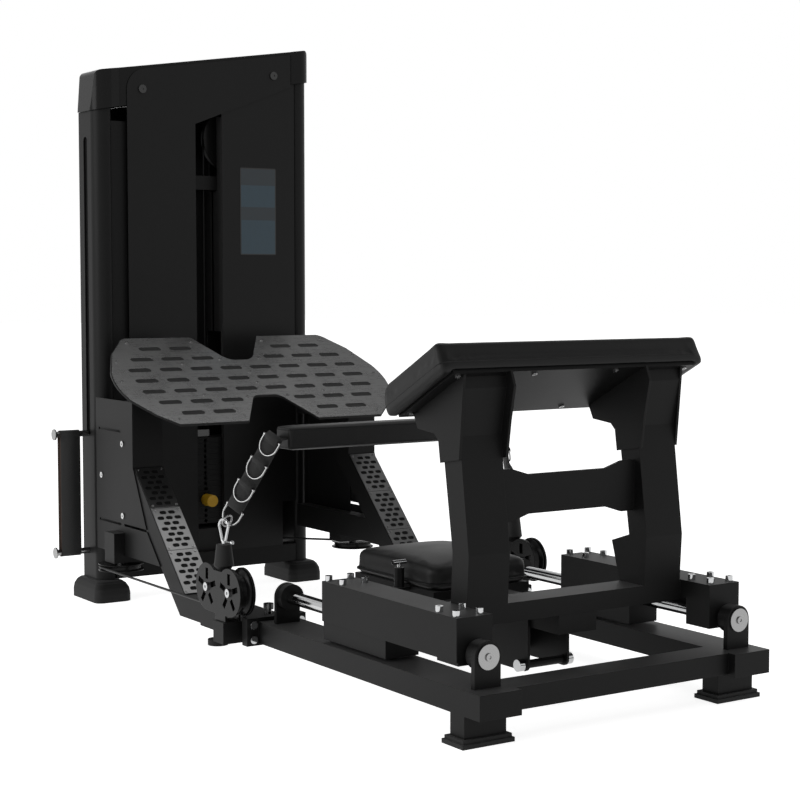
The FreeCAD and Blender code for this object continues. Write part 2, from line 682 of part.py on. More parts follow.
def cover_screws():
    """Button screws of the side covers and of the tower's front panels."""
    side = screw(k.cover_screw_r, k.cover_screw_high, k.socket_r, "x")
    face = side_out + k.cover_thick
    spots = (
        (leg_rear, leg_knee + k.leg_back * 0.7),
        (leg_front + k.cover_rear - k.slit_edge * 2, leg_knee - k.slit_edge * 2),
        (leg_rear, k.slit_lower + k.slit_edge * 1.5),
    )
    heads = both(*[placed(side, face, y, z) for y, z in spots])
    front = screw(k.panel_screw_r, k.panel_screw_high, k.socket_r, "y", -1)
    left = -(k.panel_left - k.panel_screw_set)
    right = k.band_end - k.panel_screw_set - k.panel_screw_r
    for x in (left, right):
        heads.append(placed(front, x, panel_front, cap_over(x) - k.panel_screw_set * 1.4))
    node("cover_screws", *heads)


def tower_frame():
    """Two slotted posts with a bottom beam, and a head beam that carries the head pulleys."""
    posts = []
    for side in (-1, 1):
        x_in, x_out = side * post_in, side * k.post_out
        outline = [
            (x_in, k.tower_foot_high),
            (x_out, k.tower_foot_high),
            (x_out, cap_under(x_out) - k.rest_gap),
            (x_in, cap_under(x_in) - k.rest_gap),
        ]
        post = prism("y", outline if side > 0 else outline[::-1], (post_front, post_rear))
        post = rounded(post, k.post_round, on(x=x_out, y=post_front))
        post = rounded(post, k.post_ease, on(x=x_in, y=post_front))
        y_mid = post_front + k.post_slot_set
        y = (y_mid - k.post_slot_wide / 2, y_mid + k.post_slot_wide / 2)
        deep = (k.post_out - k.post_slot_deep, k.post_out + k.overrun)
        groove = block(deep, y, (k.post_slot_low, k.post_slot_high))
        groove = joined(groove, rod("x", (y_mid, k.post_slot_high), deep, k.post_slot_wide / 2))
        posts.append(cut(post, groove if side > 0 else mirrored(groove)))
    y = (post_front, post_front + k.beam_deep)
    clevis = both(placed(centre_clevis(), centre_x, centre_y, 0, (0, 0, 1), k.cable_turn + 90))
    beam = joined(block((-post_in, post_in), y, (k.beam_low, beam_top)), *clevis)
    half = k.head_deep / 2
    head_top = k.head_low + k.head_high
    head = block((-post_in, post_in), (stack_mid - half, stack_mid + half), (k.head_low, head_top))
    holes = []
    for x in (rise_x, k.drop_x):
        hole = rod("z", (x, stack_mid), (k.head_low - k.overrun, head_top + k.overrun), k.cable_r * 2.5)
        holes += both(hole)
    guides = both(rod("z", (k.guide_x, stack_mid), (k.head_low, head_top), k.guide_r))
    ears = []
    for low in (stack_mid - half, stack_mid + half - k.ear_thick):
        x = (head_x - k.ear_wide / 2, head_x + k.ear_wide / 2)
        ears += both(block(x, (low, low + k.ear_thick), (head_top, k.head_up + k.ear_over)))
    pins = both(rod("y", (head_x, k.head_up), (stack_mid - half - k.overrun, stack_mid + half + k.overrun), k.axle_r))
    node("tower_frame", *posts, beam, cut(joined(cut(head, *holes, *guides), *ears), *pins))


def centre_clevis():
    """Two upright ears beside a centre pulley, which turns about y over the origin."""
    gap = k.centre_wide / 2 + k.clevis_gap
    half = k.clevis_wide / 2
    ears = [block((-half, half), y, (beam_top, centre_z + half))
            for y in ((gap, gap + k.clevis_thick), (-gap - k.clevis_thick, -gap))]
    reach = gap + k.clevis_thick + k.overrun
    return cut(group(ears), rod("y", (0, centre_z), (-reach, reach), k.axle_r))


flare_angles = (0, 25, 50, 70, 90)


def tower_feet():
    """Moulded feet under the posts: an upright rim, then a flare drawn in to the post."""
    spread = [value_of(over) for over in (k.tower_foot_in, k.tower_foot_out, k.tower_foot_front, k.tower_foot_rear)]
    x = (value_of(post_in), value_of(k.post_out))
    y = (value_of(post_front), value_of(post_rear))
    rim, high, corner = map(value_of, (k.tower_foot_base, k.tower_foot_high, k.tower_foot_round))
    levels = [(1, 0)]
    for angle in flare_angles:
        turn = math.radians(angle)
        levels.append((0.12 + 0.88 * math.cos(turn), rim + (high - rim) * math.sin(turn)))
    wires = []
    for share, z in levels:
        inner, outer, front, rear = (over * share for over in spread)
        wide, deep = (x[0] - inner, x[1] + outer), (y[0] - front, y[1] + rear)
        wires.append(rounded_wire(wide, deep, z, corner * (share + 1) / 2))
    foot = shaped(Part.makeLoft(wires, True, True))
    node("tower_feet", *both(foot))


def top_cap():
    """Slanted cap over both posts, with proud end pieces that widen downwards."""
    rear = post_front + k.cap_deep
    left, right = -k.cap_end_left, k.cap_end_right
    cap = prism("y", cap_outline(left, right), (post_front, rear))
    ends = [cap_end(left, -k.cap_flank_left, -k.cap_half, k.cap_flare, rear)]
    ends.append(cap_end(right, k.cap_flank_right, k.cap_half, -k.cap_flare, rear))
    node("top_cap", cap, *ends)


def cap_end(inner, flank, outer, flare, rear):
    """One end of the cap: its front outline and its plan, each with its outer corner rounded."""
    proud = post_front - k.cap_proud
    upper = outer + flare
    below = [(x, cap_under(x)) for x in (inner, outer)]
    outline = below + [(x, cap_over(x)) for x in (upper, inner)]
    front = prism("y", outline, (proud - k.overrun, rear + k.overrun))
    front = rounded(front, k.cap_top_round, on(x=upper, z=cap_over(upper)))
    plan = [(inner, rear), (inner, post_front), (inner + flank, proud), (outer, proud), (outer, rear)]
    top = k.cap_low_right + k.cap_high_right + k.overrun
    tall = prism("z", plan, (k.cap_low_left - k.overrun, top))
    tall = rounded(tall, k.cap_end_round, on(x=outer, y=proud))
    end = doc.addObject("Part::Common", "End")
    end.Base = front
    end.Tool = tall
    return end


def cap_outline(low, high):
    return [(low, cap_under(low)), (high, cap_under(high)), (high, cap_over(high)), (low, cap_over(low))]


def front_plate():
    """One sheet: the left shield and the band that runs under the cap."""
    left, inner, right = -k.panel_left, -k.window_left, k.band_end
    outline = [
        (left, k.panel_low),
        (inner, k.panel_low),
        (inner, k.band_low_left),
        (right, k.band_low_right),
        (right, cap_over(right) - k.panel_top_gap),
        (left, cap_over(left) - k.panel_top_gap),
    ]
    plate = prism("y", outline, (panel_front, post_front))
    top = cap_over(left) - k.panel_top_gap
    corner = rounded(plate, k.panel_round, on(x=left, z=top))
    node("front_plate", corner)


def right_panel():
    """Recessed panel on the right of the window, folded back along the window's edge."""
    outline = [
        (k.window_right, beam_top),
        (post_in, beam_top),
        (post_in, cap_under(post_in)),
        (k.window_right, cap_under(k.window_right)),
    ]
    sheet = prism("y", outline, (post_front, post_front + k.panel_thick))
    folds = window_folds(lambda deep: (post_front, post_front + deep), k.return_deep)
    gap = k.cable_notch / 2
    at_panel = leave_x - tangent(k.cable_turn) * (post_front - leave_y)
    y = (post_front - k.overrun, post_front + k.panel_thick + k.overrun)
    notch = block((at_panel - gap, post_in + k.overrun), y, (beam_top - k.overrun, beam_top + k.cable_notch_high))
    node("right_panel", cut(joined(sheet, *folds), notch))


def window_folds(reach, full):
    """The fold along the window's edge, shallow beside the moving plates and beside the head beam."""
    x = (k.window_right, k.window_right + k.panel_thick)
    return [
        block(x, reach(k.return_low), (beam_top, k.cap_low_left)),
        block(x, reach(full), (lift_clear, k.head_low - k.return_gap)),
        block(x, reach(k.return_high), (lift_clear, k.cap_low_left)),
    ]


def left_strip():
    """Narrow sheet that closes the gap between the left post and the front plate."""
    y = post_front + k.strip_set
    x = (-post_in, -k.panel_left + k.strip_lap)
    node("left_strip", block(x, (y, y + k.panel_thick), (k.arm_low + k.arm_high, k.cap_low_left - k.strip_gap)))


def gap_closers():
    """Sheets between the legs' arms, each with a lip on its tower post."""
    x_out = k.post_out - k.closer_set
    x_in = x_out - k.closer_thick
    z = (k.arm_low + k.arm_high, k.arm_top_low)
    sheet = block((x_in, x_out), (leg_rear, post_front), z)
    lip = block((x_out - k.closer_lip, x_out), (post_front - k.closer_thick, post_front), z)
    node("gap_closers", *both(joined(sheet, lip)))


def rear_shield():
    """Rear sheet of the tower with its own fold beside the window."""
    outline = [
        (-k.rear_half, beam_top),
        (k.rear_half, beam_top),
        (k.rear_half, cap_under(k.rear_half)),
        (-k.rear_half, cap_under(-k.rear_half)),
    ]
    sheet = prism("y", outline, (post_rear, post_rear + k.panel_thick))
    folds = window_folds(lambda deep: (post_rear - deep, post_rear), k.rear_return_deep)
    node("rear_shield", joined(sheet, *folds))


def plate_stack(first, last):
    """Weight plates from one index up to another, drilled for the guides, the stem and the pin."""
    y = (stack_mid - k.plate_deep / 2, stack_mid + k.plate_deep / 2)
    plates = []
    for i in range(first, last):
        low = k.stack_low + i * k.plate_pitch
        high = low + k.plate_pitch - k.plate_gap
        plate = block((-k.plate_half, k.plate_half), y, (low, high))
        through = (low - k.overrun, high + k.overrun)
        tools = both(rod("z", (k.guide_x, stack_mid), through, k.guide_r + k.guide_gap))
        tools.append(rod("z", (0, stack_mid), through, k.stem_r + k.stem_gap))
        tools.append(rod("y", (0, pin_height(i)), (y[0] - k.overrun, y[1] + k.overrun), k.pin_r + k.pin_gap))
        plates.append(cut(plate, *tools))
    return plates


def pin_height(i):
    return k.stack_low + i * k.plate_pitch + (k.plate_pitch - k.plate_gap) / 2


def weight_stack():
    count, resting = int(k.plate_count.value), int(k.resting_count.value)
    node("resting_plates", *plate_stack(0, resting))
    node("lifted_plates", *plate_stack(resting, count))
    stem = rod("z", (0, stack_mid), (k.stack_low + k.stem_low_gap, stack_top), k.stem_r)
    holes = [rod("y", (0, pin_height(i)), (stack_mid - k.stem_r * 2, stack_mid + k.stem_r * 2), k.pin_r + k.pin_gap)
             for i in range(count)]
    y = (stack_mid - k.yoke_deep / 2, stack_mid + k.yoke_deep / 2)
    yoke = block((-k.yoke_half, k.yoke_half), y, (stack_top, stack_top + k.yoke_high))
    node("stack_stem", joined(cut(stem, *holes), yoke))
    cable = rod("z", (k.drop_x, stack_mid), (stack_top + k.yoke_high, k.head_up), k.cable_r)
    node("stack_cables", *both(cable))
    high = pin_height(resting)
    face = stack_mid - k.plate_deep / 2
    grip = rod("y", (0, high), (face - k.knob_grip - k.knob_long, face - k.knob_grip), k.knob_r)
    shaft = rod("y", (0, high), (face - k.knob_grip, face + k.pin_long), k.pin_r)
    node("selector_pin", joined(grip, shaft))


def stack_guides():
    """Two polished rods that the plates slide on."""
    low = k.stack_low - k.cushion_high
    bar = rod("z", (k.guide_x, stack_mid), (low, k.head_low + k.head_high), k.guide_r)
    node("stack_guides", *both(bar))


def stack_base():
    """Block under the stack, with a rubber ring on each guide rod."""
    half = k.stack_base_half
    low = k.stack_low - k.cushion_high
    y = (stack_mid - k.plate_deep / 2, stack_mid + k.plate_deep / 2)
    rings = []
    for x in (-k.guide_x, k.guide_x):
        ring = rod("z", (x, stack_mid), (low, k.stack_low), k.cushion_r)
        rings.append(cut(ring, rod("z", (x, stack_mid), (low - k.overrun, k.stack_low + k.overrun), k.guide_r)))
    node("stack_base", block((-half, half), y, (beam_top, low)), *rings)


def pin_lanyard():
    """Thin cord that hangs from the top plate down to the selector knob."""
    face = stack_mid - k.plate_deep / 2
    low = pin_height(int(k.resting_count.value)) + k.knob_r
    hang = face - k.knob_r / 3
    over = face - k.knob_r * 1.2
    top = stack_top - k.plate_pitch / 2
    route = [
        vector(0, face, top), vector(0, hang, top), vector(0, hang, low + k.knob_r),
        vector(0, over, low + k.knob_r / 2), vector(0, over, low + k.rest_gap),
    ]
    node("pin_lanyard", shaped(tube(bent(route), k.lanyard_r.value)))


def bent(points, share=0.45):
    """A wire along a route: straight runs joined by tangent arcs, each as large as its two runs allow."""
    edges = []
    start = points[0]
    for before, corner, after in zip(points, points[1:], points[2:]):
        back, ahead = (before - corner), (after - corner)
        turn = math.pi - back.getAngle(ahead)
        trim = share * min(back.Length, ahead.Length)
        radius = trim / math.tan(turn / 2)
        first = corner + back.normalize() * trim
        last = corner + ahead.normalize() * trim
        inward = (back + ahead).normalize()
        middle = corner + inward * (math.hypot(radius, trim) - radius)
        print(f"route radius {radius:.1f}")
        edges.append(Part.LineSegment(start, first).toShape())
        edges.append(Part.Arc(first, middle, last).toShape())
        start = last
    edges.append(Part.LineSegment(start, points[-1]).toShape())
    return Part.Wire(edges)


def tube(path, radius):
    """A round solid swept along a wire."""
    first = path.OrderedEdges[0]
    way = first.tangentAt(first.FirstParameter)
    ring = Part.Wire([Part.Circle(first.valueAt(first.FirstParameter), way, radius).toShape()])
    shell = Part.BRepOffsetAPI.MakePipeShell(path)
    shell.add(ring)
    shell.build()
    shell.makeSolid()
    solid = shell.shape()
    print(f"tube volume share {solid.Volume / (math.pi * radius * radius * path.Length):.4f}")
    return solid


def vector(x, y, z):
    return V(value_of(x), value_of(y), value_of(z))


def drive_cables():
    """Each side's cable from the bracket's rear pulley to the head pulley, laid along its grooves."""
    part = math.sqrt(0.5)
    turn = k.cable_turn / 2
    r = k.corner_groove_r
    low_x = rise_x + k.centre_groove_r * sine(k.cable_turn)
    low_y = stack_mid - k.centre_groove_r * cosine(k.cable_turn)
    bend = k.centre_groove_r * (1 - part)
    points = [
        vector(cable_x, cable_y, pulley_z),
        vector(cable_x, rear_pulley_y - k.groove_r * part, pulley_z - k.groove_r * part),
        vector(cable_x, rear_pulley_y, cable_low),
        vector(cable_x, corner_y, cable_low),
        vector(corner_x + r * cosine(turn), corner_y + r * sine(turn), cable_low),
        vector(leave_x, leave_y, cable_low),
        vector(low_x, low_y, cable_low),
        vector(rise_x + bend * sine(k.cable_turn), stack_mid - bend * cosine(k.cable_turn), cable_low + bend),
        vector(rise_x, stack_mid, centre_z),
        vector(rise_x, stack_mid, k.head_up),
        vector(head_x + head_groove_r * part, stack_mid, k.head_up + head_groove_r * part),
        vector(head_x, stack_mid, k.head_up + head_groove_r),
        vector(head_x - head_groove_r * part, stack_mid, k.head_up + head_groove_r * part),
        vector(k.drop_x, stack_mid, k.head_up),
    ]
    runs = ((0, 1, 2), (2, 3), (3, 4, 5), (5, 6), (6, 7, 8), (8, 9), (9, 10, 11), (11, 12, 13))
    edges = []
    for run in runs:
        spots = [points[i] for i in run]
        edges.append((Part.Arc(*spots) if len(spots) > 2 else Part.LineSegment(*spots)).toShape())
    node("drive_cables", *both(shaped(tube(Part.Wire(edges), k.cable_r.value))))
    node("belt_cables", *both(rod("z", (cable_x, cable_y), (pulley_z, cone_low), k.cable_r)))


def pulley(groove_r, rim, wide):
    """A grooved wheel about z: the groove is as deep as the cable needs, with a lip on each side."""
    core = groove_r - k.cable_r - k.rest_gap
    lip = groove_r + rim
    half = wide / 2
    edge = half - wide * 0.12
    valley = k.cable_r + k.groove_slack
    wheel = joined(
        rod("z", (0, 0), (-half, half), core),
        rod("z", (0, 0), (edge, half), lip),
        rod("z", (0, 0), (-half, -edge), lip),
        cone("z", (0, 0), (valley, edge), (core, lip)),
        cone("z", (0, 0), (-edge, -valley), (lip, core)),
    )
    hole = rod("z", (0, 0), (-half - k.overrun, half + k.overrun), k.axle_r + k.axle_gap)
    return cut(wheel, hole)


def pulleys():
    """The five pulleys of each side."""
    side = pulley(k.groove_r, k.flange_rim, k.pulley_wide)
    corner = pulley(k.corner_groove_r, k.corner_rim, k.corner_wide)
    centre = pulley(k.centre_groove_r, k.centre_rim, k.centre_wide)
    head = pulley(head_groove_r, k.head_rim, k.head_wide)
    lying = placed(centre, axis=(1, 0, 0), angle=-90)
    wheels = {
        "rear_pulley": placed(side, cable_x, rear_pulley_y, pulley_z, (0, 1, 0), 90),
        "front_pulley": placed(side, cable_x, front_pulley_y, pulley_z, (0, 1, 0), 90),
        "corner_pulley": placed(corner, corner_x, corner_y, cable_low),
        "centre_pulley": placed(lying, centre_x, centre_y, centre_z, (0, 0, 1), k.cable_turn + 90),
        "head_pulley": placed(head, head_x, stack_mid, k.head_up, (1, 0, 0), -90),
    }
    for name, wheel in wheels.items():
        node(f"{name}_right", wheel)
        node(f"{name}_left", mirrored(wheel))


def pulley_brackets():
    """Heart-shaped plates on both sides of the two bracket pulleys, with slots in a star round each axle."""
    plates = []
    for low in (cable_x - heart_half - k.heart_thick, cable_x + heart_half):
        span = (low, low + k.heart_thick)
        lobes = [rod("x", (y, pulley_z), span, k.heart_r) for y in (front_pulley_y, rear_pulley_y)]
        middle = block(span, (front_pulley_y, rear_pulley_y), (pulley_z - k.heart_r, pulley_z + k.heart_notch))
        half = k.stub_side / 2
        tab = block(span, (stub_mid - half, stub_mid + half), (stub_top, pulley_z - k.heart_r))
        reach = (k.star_in, k.star_out)
        star = block((-k.overrun, k.heart_thick + k.overrun), reach, (-k.star_wide / 2, k.star_wide / 2))
        tools = []
        for y in (front_pulley_y, rear_pulley_y):
            tools.append(rod("x", (y, pulley_z), (low - k.overrun, span[1] + k.overrun), k.axle_r))
            for i in range(5):
                tools.append(placed(star, low, y, pulley_z, (1, 0, 0), 90 + i * 72))
        plates.append(cut(joined(*lobes, middle, tab), *tools))
    node("pulley_brackets", *both(*plates))


def pulley_axles():
    """Headed axles of the bracket pulleys, corner posts, and the axles inside the tower."""
    axles = []
    low = cable_x - heart_half - k.heart_thick
    high = cable_x + heart_half + k.heart_thick
    for y in (front_pulley_y, rear_pulley_y):
        spot = (y, pulley_z)
        ends = (low - k.axle_head_high, high + k.axle_head_high)
        heads = [rod("x", spot, span, k.axle_head_r) for span in ((ends[0], low), (high, ends[1]))]
        deep = k.axle_head_high / 2
        sockets = [
            rod("x", spot, span, k.socket_r)
            for span in ((ends[0] - k.overrun, ends[0] + deep), (ends[1] - deep, ends[1] + k.overrun))
        ]
        axles.append(cut(joined(rod("x", spot, ends, k.axle_r), *heads), *sockets))
    spot = (corner_x, corner_y)
    half = k.corner_wide / 2 + k.clevis_gap
    nut = cable_low - half
    collar = rod("z", spot, (cable_low + half, k.arm_low - k.corner_box_base), k.axle_head_r)
    post = rod("z", spot, (nut - k.axle_head_high, k.arm_low - k.corner_box_base), k.axle_r)
    axles.append(joined(post, collar, rod("z", spot, (nut - k.axle_head_high, nut), k.axle_head_r)))
    reach = k.centre_wide / 2 + k.clevis_gap + k.clevis_thick
    pin = rod("y", (0, 0), (-reach, reach), k.axle_r)
    axles.append(placed(pin, centre_x, centre_y, centre_z, (0, 0, 1), k.cable_turn + 90))
    axles.append(rod("y", (head_x, k.head_up), (stack_mid - k.head_deep / 2, stack_mid + k.head_deep / 2), k.axle_r))
    node("pulley_axles", *both(*axles))


def pulley_boxes():
    """Stepped boxes under the lower arms that hold the corner pulleys."""
    y = (corner_y - k.corner_box_deep + k.corner_box_back, corner_y + k.corner_box_back)
    out = cable_x - k.corner_box_in
    low = k.arm_low - k.corner_box_base
    base = block((k.post_out - k.arm_wide, out), y, (low, k.arm_low))
    outer = block((side_out + k.cover_thick, out), y, (k.arm_low, k.arm_low + k.corner_box_high))
    node("pulley_boxes", *both(joined(base, outer)))


def foot_outline(inset):
    """The foot plate's outline in its own slope, with a notch at the front and at the rear."""
    far = k.foot_deep
    side = [
        (k.foot_notch, inset),
        (k.foot_half * 0.74, inset),
        (k.foot_half * 0.86 - inset / 2, far * 0.12 + inset / 2),
        (k.foot_half * 0.968 - inset, far * 0.284),
        (k.foot_half - inset, far * 0.42, k.foot_half * 0.55),
        (k.foot_half * 0.983 - inset, far * 0.6, k.foot_half * 0.55),
        (k.foot_half * 0.893 - inset, far * 0.82),
        (k.foot_half * 0.8 - inset / 2, far * 0.94 - inset / 2),
        (k.foot_half * 0.735, far - inset, k.foot_half * 0.12),
        (k.foot_notch - inset / 2, far - inset),
        (k.foot_half * 0.12, far - k.foot_notch_deep - inset / 2),
        (k.foot_half * 0.05, far - k.foot_notch_deep * 1.2 - inset, -k.notch_round / 1.2),
    ]
    other = [(-x, y) for x, y, *_ in reversed(side)]
    notch_in = [(-k.foot_half * 0.12, k.foot_notch_deep * 1.02 + inset / 2)]
    notch = [
        (-k.foot_half * 0.06, k.foot_notch_deep * 1.18 + inset, -k.notch_round / 2),
        (k.foot_half * 0.06, k.foot_notch_deep * 1.18 + inset),
        (k.foot_half * 0.12, k.foot_notch_deep * 1.02 + inset / 2, -k.notch_round / 2),
    ]
    radii = {}
    for i, point in enumerate(side):
        if len(point) > 2:
            radii[len(side) - i] = point[2]
    back = [(*p, radii[i]) if i in radii else p for i, p in enumerate(other)]
    return side + back + notch_in + notch


def foot_slots():
    """Places of the oblong holes: rows across each half, shifted by half a pitch by turns."""
    rows = (
        (2.23, (-0.5, 0.5)), (2.22, (-1, 0, 1)), (2, (-1.5, -0.5, 0.5, 1.5)), (2, (-1.5, -0.5, 0.5, 1.5)),
        (2, (-1.5, -0.5, 0.5, 1.5)), (2.22, (-1, 0, 1)), (2.23, (-0.5, 0.5)),
    )
    places = []
    for row, (middle_share, shares) in enumerate(rows):
        y = k.foot_row_set + row * k.foot_row_pitch
        for share in shares:
            places.append(((middle_share + share) * k.foot_slot_pitch, y))
    return places


def foot_plates():
    """The sloping foot plate: a stiff board and the thin perforated sheet on it."""
    frame = dict(tilt=k.foot_tilt, at=(0, foot_front, k.foot_up))
    board = prism("z", foot_outline(0), (-k.board_thick, 0))
    sheet = prism("z", foot_outline(k.sheet_inset), (0, k.sheet_thick))
    hole = slot(k.foot_slot_long, k.foot_slot_wide, (-k.overrun, k.sheet_thick + k.overrun))
    node("foot_board", board, **frame)
    node("foot_sheet", cut(sheet, *both(*[placed(hole, x, y) for x, y in foot_slots()])), **frame)
    screw_shares = (
        (0.27, 0.054), (0.73, 0.057), (0.15, 0.27), (0.445, 0.31), (0.945, 0.493),
        (0.15, 0.72), (0.445, 0.676), (0.895, 0.72), (0.27, 0.938), (0.74, 0.94),
    )
    head = screw(k.foot_screw_r, k.foot_screw_high, k.foot_screw_r / 2)
    heads = [placed(head, x * k.foot_half, y * k.foot_deep, k.sheet_thick) for x, y in screw_shares]
    middle = [placed(head, 0, share * k.foot_deep, k.sheet_thick) for share in (0.431, 0.557)]
    node("foot_screws", *both(*heads), *middle, **frame)


def rounded_wire(x, y, z, corner):
    """A flat rounded rectangle of lines and quarter arcs."""
    turn = corner * (1 - math.sqrt(0.5))
    spots = []
    for sx, sy in ((-1, -1), (1, -1), (1, 1), (-1, 1)):
        cx, cy = (x[1] if sx > 0 else x[0]), (y[1] if sy > 0 else y[0])
        one = V(cx, cy - sy * corner, z)
        two = V(cx - sx * corner, cy, z)
        spots.append((two, one) if sx * sy < 0 else (one, two))
        spots[-1] = (*spots[-1], V(cx - sx * turn, cy - sy * turn, z))
    edges = []
    for i, (first, last, middle) in enumerate(spots):
        following = spots[(i + 1) % len(spots)][0]
        edges.append(Part.Arc(first, middle, last).toShape())
        edges.append(Part.LineSegment(last, following).toShape())
    return Part.Wire(edges)


edge_shares = (0.25, 0.5, 0.75, 1)
crown_shares = (0.3, 0.62, 1)


def cushion(x_half, y, low, thick, edge, crown, corner, draw):
    """An upholstered block: drawn-in sides, a rolled top edge and a crown, as a loft through flat sections."""
    x_half, low, thick, edge, crown, corner, draw = map(value_of, (x_half, low, thick, edge, crown, corner, draw))
    y = (value_of(y[0]), value_of(y[1]))
    levels = [(draw * 2, 0), (0, edge / 2), (draw, thick / 2), (0, thick - edge)]
    for share in edge_shares:
        angle = share * math.pi / 2
        levels.append((edge * (1 - math.cos(angle)), thick - edge + edge * math.sin(angle)))
    room = min(x_half, (y[1] - y[0]) / 2) - edge
    for share in crown_shares if crown else ():
        levels.append((edge + room * share * 0.8, thick + crown * (1 - (1 - share) ** 2)))
    wires = []
    for inset, height in levels:
        x = (-x_half + inset, x_half - inset)
        rest = (y[0] + inset, y[1] - inset)
        wires.append(rounded_wire(x, rest, low + height, max(corner - inset * 0.5, corner / 3)))
    return shaped(Part.makeLoft(wires, True, True))


def belt():
    """The padded belt, its straps, rings, hooks and the rubber cones on the cable ends."""
    y = (cable_y - k.belt_ahead, cable_y - k.belt_ahead + k.belt_deep)
    node("belt_pad", cushion(k.belt_half, y, k.belt_low, k.belt_high, k.belt_round, 0, k.belt_round, 1))
    middle = k.belt_low + k.belt_high / 2
    first = vector(k.belt_half + k.strap_out, y[0] + k.strap_ahead, middle)
    last = vector(cable_x - k.strap_in, cable_y - k.strap_front, hook_z + k.strap_end_up)
    way = (last - first).normalize()
    forward = (V(0, -1, 0) + way * way.y).normalize()
    across = FreeCAD.Rotation(way, k.strap_twist.value).multVec(forward)
    out = across.cross(way)
    bar = (k.dee_bar + k.rest_gap).value
    start = vector(k.belt_half + k.rest_gap, y[0] + k.belt_deep / 2, middle)
    wires = [
        ribbon(start, V(0, -1, 0), V(0, 0, 1)),
        ribbon(first - way * k.strap_bend.value, across, out),
        ribbon(last - way * bar, across, out),
    ]
    node("belt_straps", *both(shaped(Part.makeLoft(wires, True, True))))
    face = FreeCAD.Rotation(across, out, -way, "XZY")
    lift = out * (k.strap_thick.value + bar)
    rings = []
    for share, rise in ((0, lift), (1 / 3, lift), (2 / 3, lift), (1, V())):
        spot = first + (last - first) * share + rise
        rings.append(stood(dee(k.dee_r, k.dee_wire, k.dee_leg, k.dee_bar), spot, face))
    loop = doc.addObject("Part::Torus", "Ring")
    bind(loop, Radius1=k.ring_r, Radius2=k.ring_wire)
    spot = last + way * k.ring_drop.value + out * k.ring_side.value
    rings.append(stood(loop, spot, FreeCAD.Rotation(V(0, 0, 1), across)))
    node("d_rings", *both(*rings))
    node("snap_hooks", *both(snap_hook()))
    waist = cone_low + k.cone_flare
    tip = cone("z", (cable_x, cable_y), (cone_low, waist), (k.cone_tip_r, k.cone_r))
    body = cone("z", (cable_x, cable_y), (waist, cone_top), (k.cone_r, k.cone_top_r))
    node("stopper_cones", *both(joined(tip, body)))


def ribbon(middle, across, out):
    """The strap's flat section at one place of its way."""
    half = across * (k.strap_wide.value / 2)
    thick = out * k.strap_thick.value
    corners = [middle - half, middle + half, middle + half + thick, middle - half + thick]
    return Part.makePolygon(corners + corners[:1])


def stood(thing, spot, turn):
    """A piece made about the origin, turned and set at a spot."""
    copy = group([thing])
    copy.Placement = FreeCAD.Placement(spot, turn)
    return copy


def snap_hook():
    """A pear-shaped wire hook on the eye of the cone, with a ball on its pin."""
    low = k.hook_wire + k.hook_low_half
    high = k.hook_long - k.hook_wire - k.hook_half
    small = placed(half_ring(k.hook_low_half, k.hook_wire, -1), z=low)
    ends = [small, placed(half_ring(k.hook_half, k.hook_wire, 1), z=high)]
    legs = []
    for side in (-1, 1):
        leg = Part.makeLine(vector(side * k.hook_low_half, 0, low), vector(side * k.hook_half, 0, high))
        legs.append(shaped(tube(Part.Wire([leg]), k.hook_wire.value)))
    pin = rod("x", (0, k.hook_wire), (-k.ball_set, k.hook_low_half), k.hook_wire / 2)
    ball = doc.addObject("Part::Sphere", "Ball")
    bind(ball, Radius=k.ball_r)
    put(ball, -k.ball_set, 0, k.hook_wire)
    loop = placed(joined(*legs, *ends, pin, ball), cable_x, cable_y, hook_z, (0, 0, 1), k.hook_turn)
    return joined(loop, rod("z", (cable_x, cable_y), (cone_top, cone_top + k.eye_high), k.eye_r))


def half_ring(radius, wire, way):
    """Half of a wire ring in the plane y = 0, above the origin or below it."""
    ring = doc.addObject("Part::Torus", "HalfRing")
    bind(ring, Radius1=radius, Radius2=wire)
    ring.Angle3 = 180
    ring.Placement = FreeCAD.Placement(V(), FreeCAD.Rotation(V(1, 0, 0), 90 * way))
    return ring


def dee(radius, wire, leg, bar):
    """A D-shaped wire ring: a straight bar along x, two legs and an arc below them."""
    legs = [rod("z", (x, 0), (-leg, 0), wire) for x in (-radius, radius)]
    arc = placed(half_ring(radius, wire, -1), z=-leg)
    return joined(arc, *legs, rod("x", (0, 0), (-radius - bar, radius + bar), bar))


column_front_shares = ((0, 0), (-0.107, 0.227), (0.464, 0.74), (0.143, 0.948))
column_rear_shares = ((1.411, 0.617), (0.893, 0.227), (1, 0))
saddle_shares = ((1.536, 0.615), (1.66, 0.712), (1.911, 0.74), (2.982, 0.753))
inner_lip_shares = ((-0.036, 0.801), (-0.304, 0.955))


def column_point(share):
    return yoke_y + share[0] * k.upright_deep, yoke_top + share[1] * k.upright_high


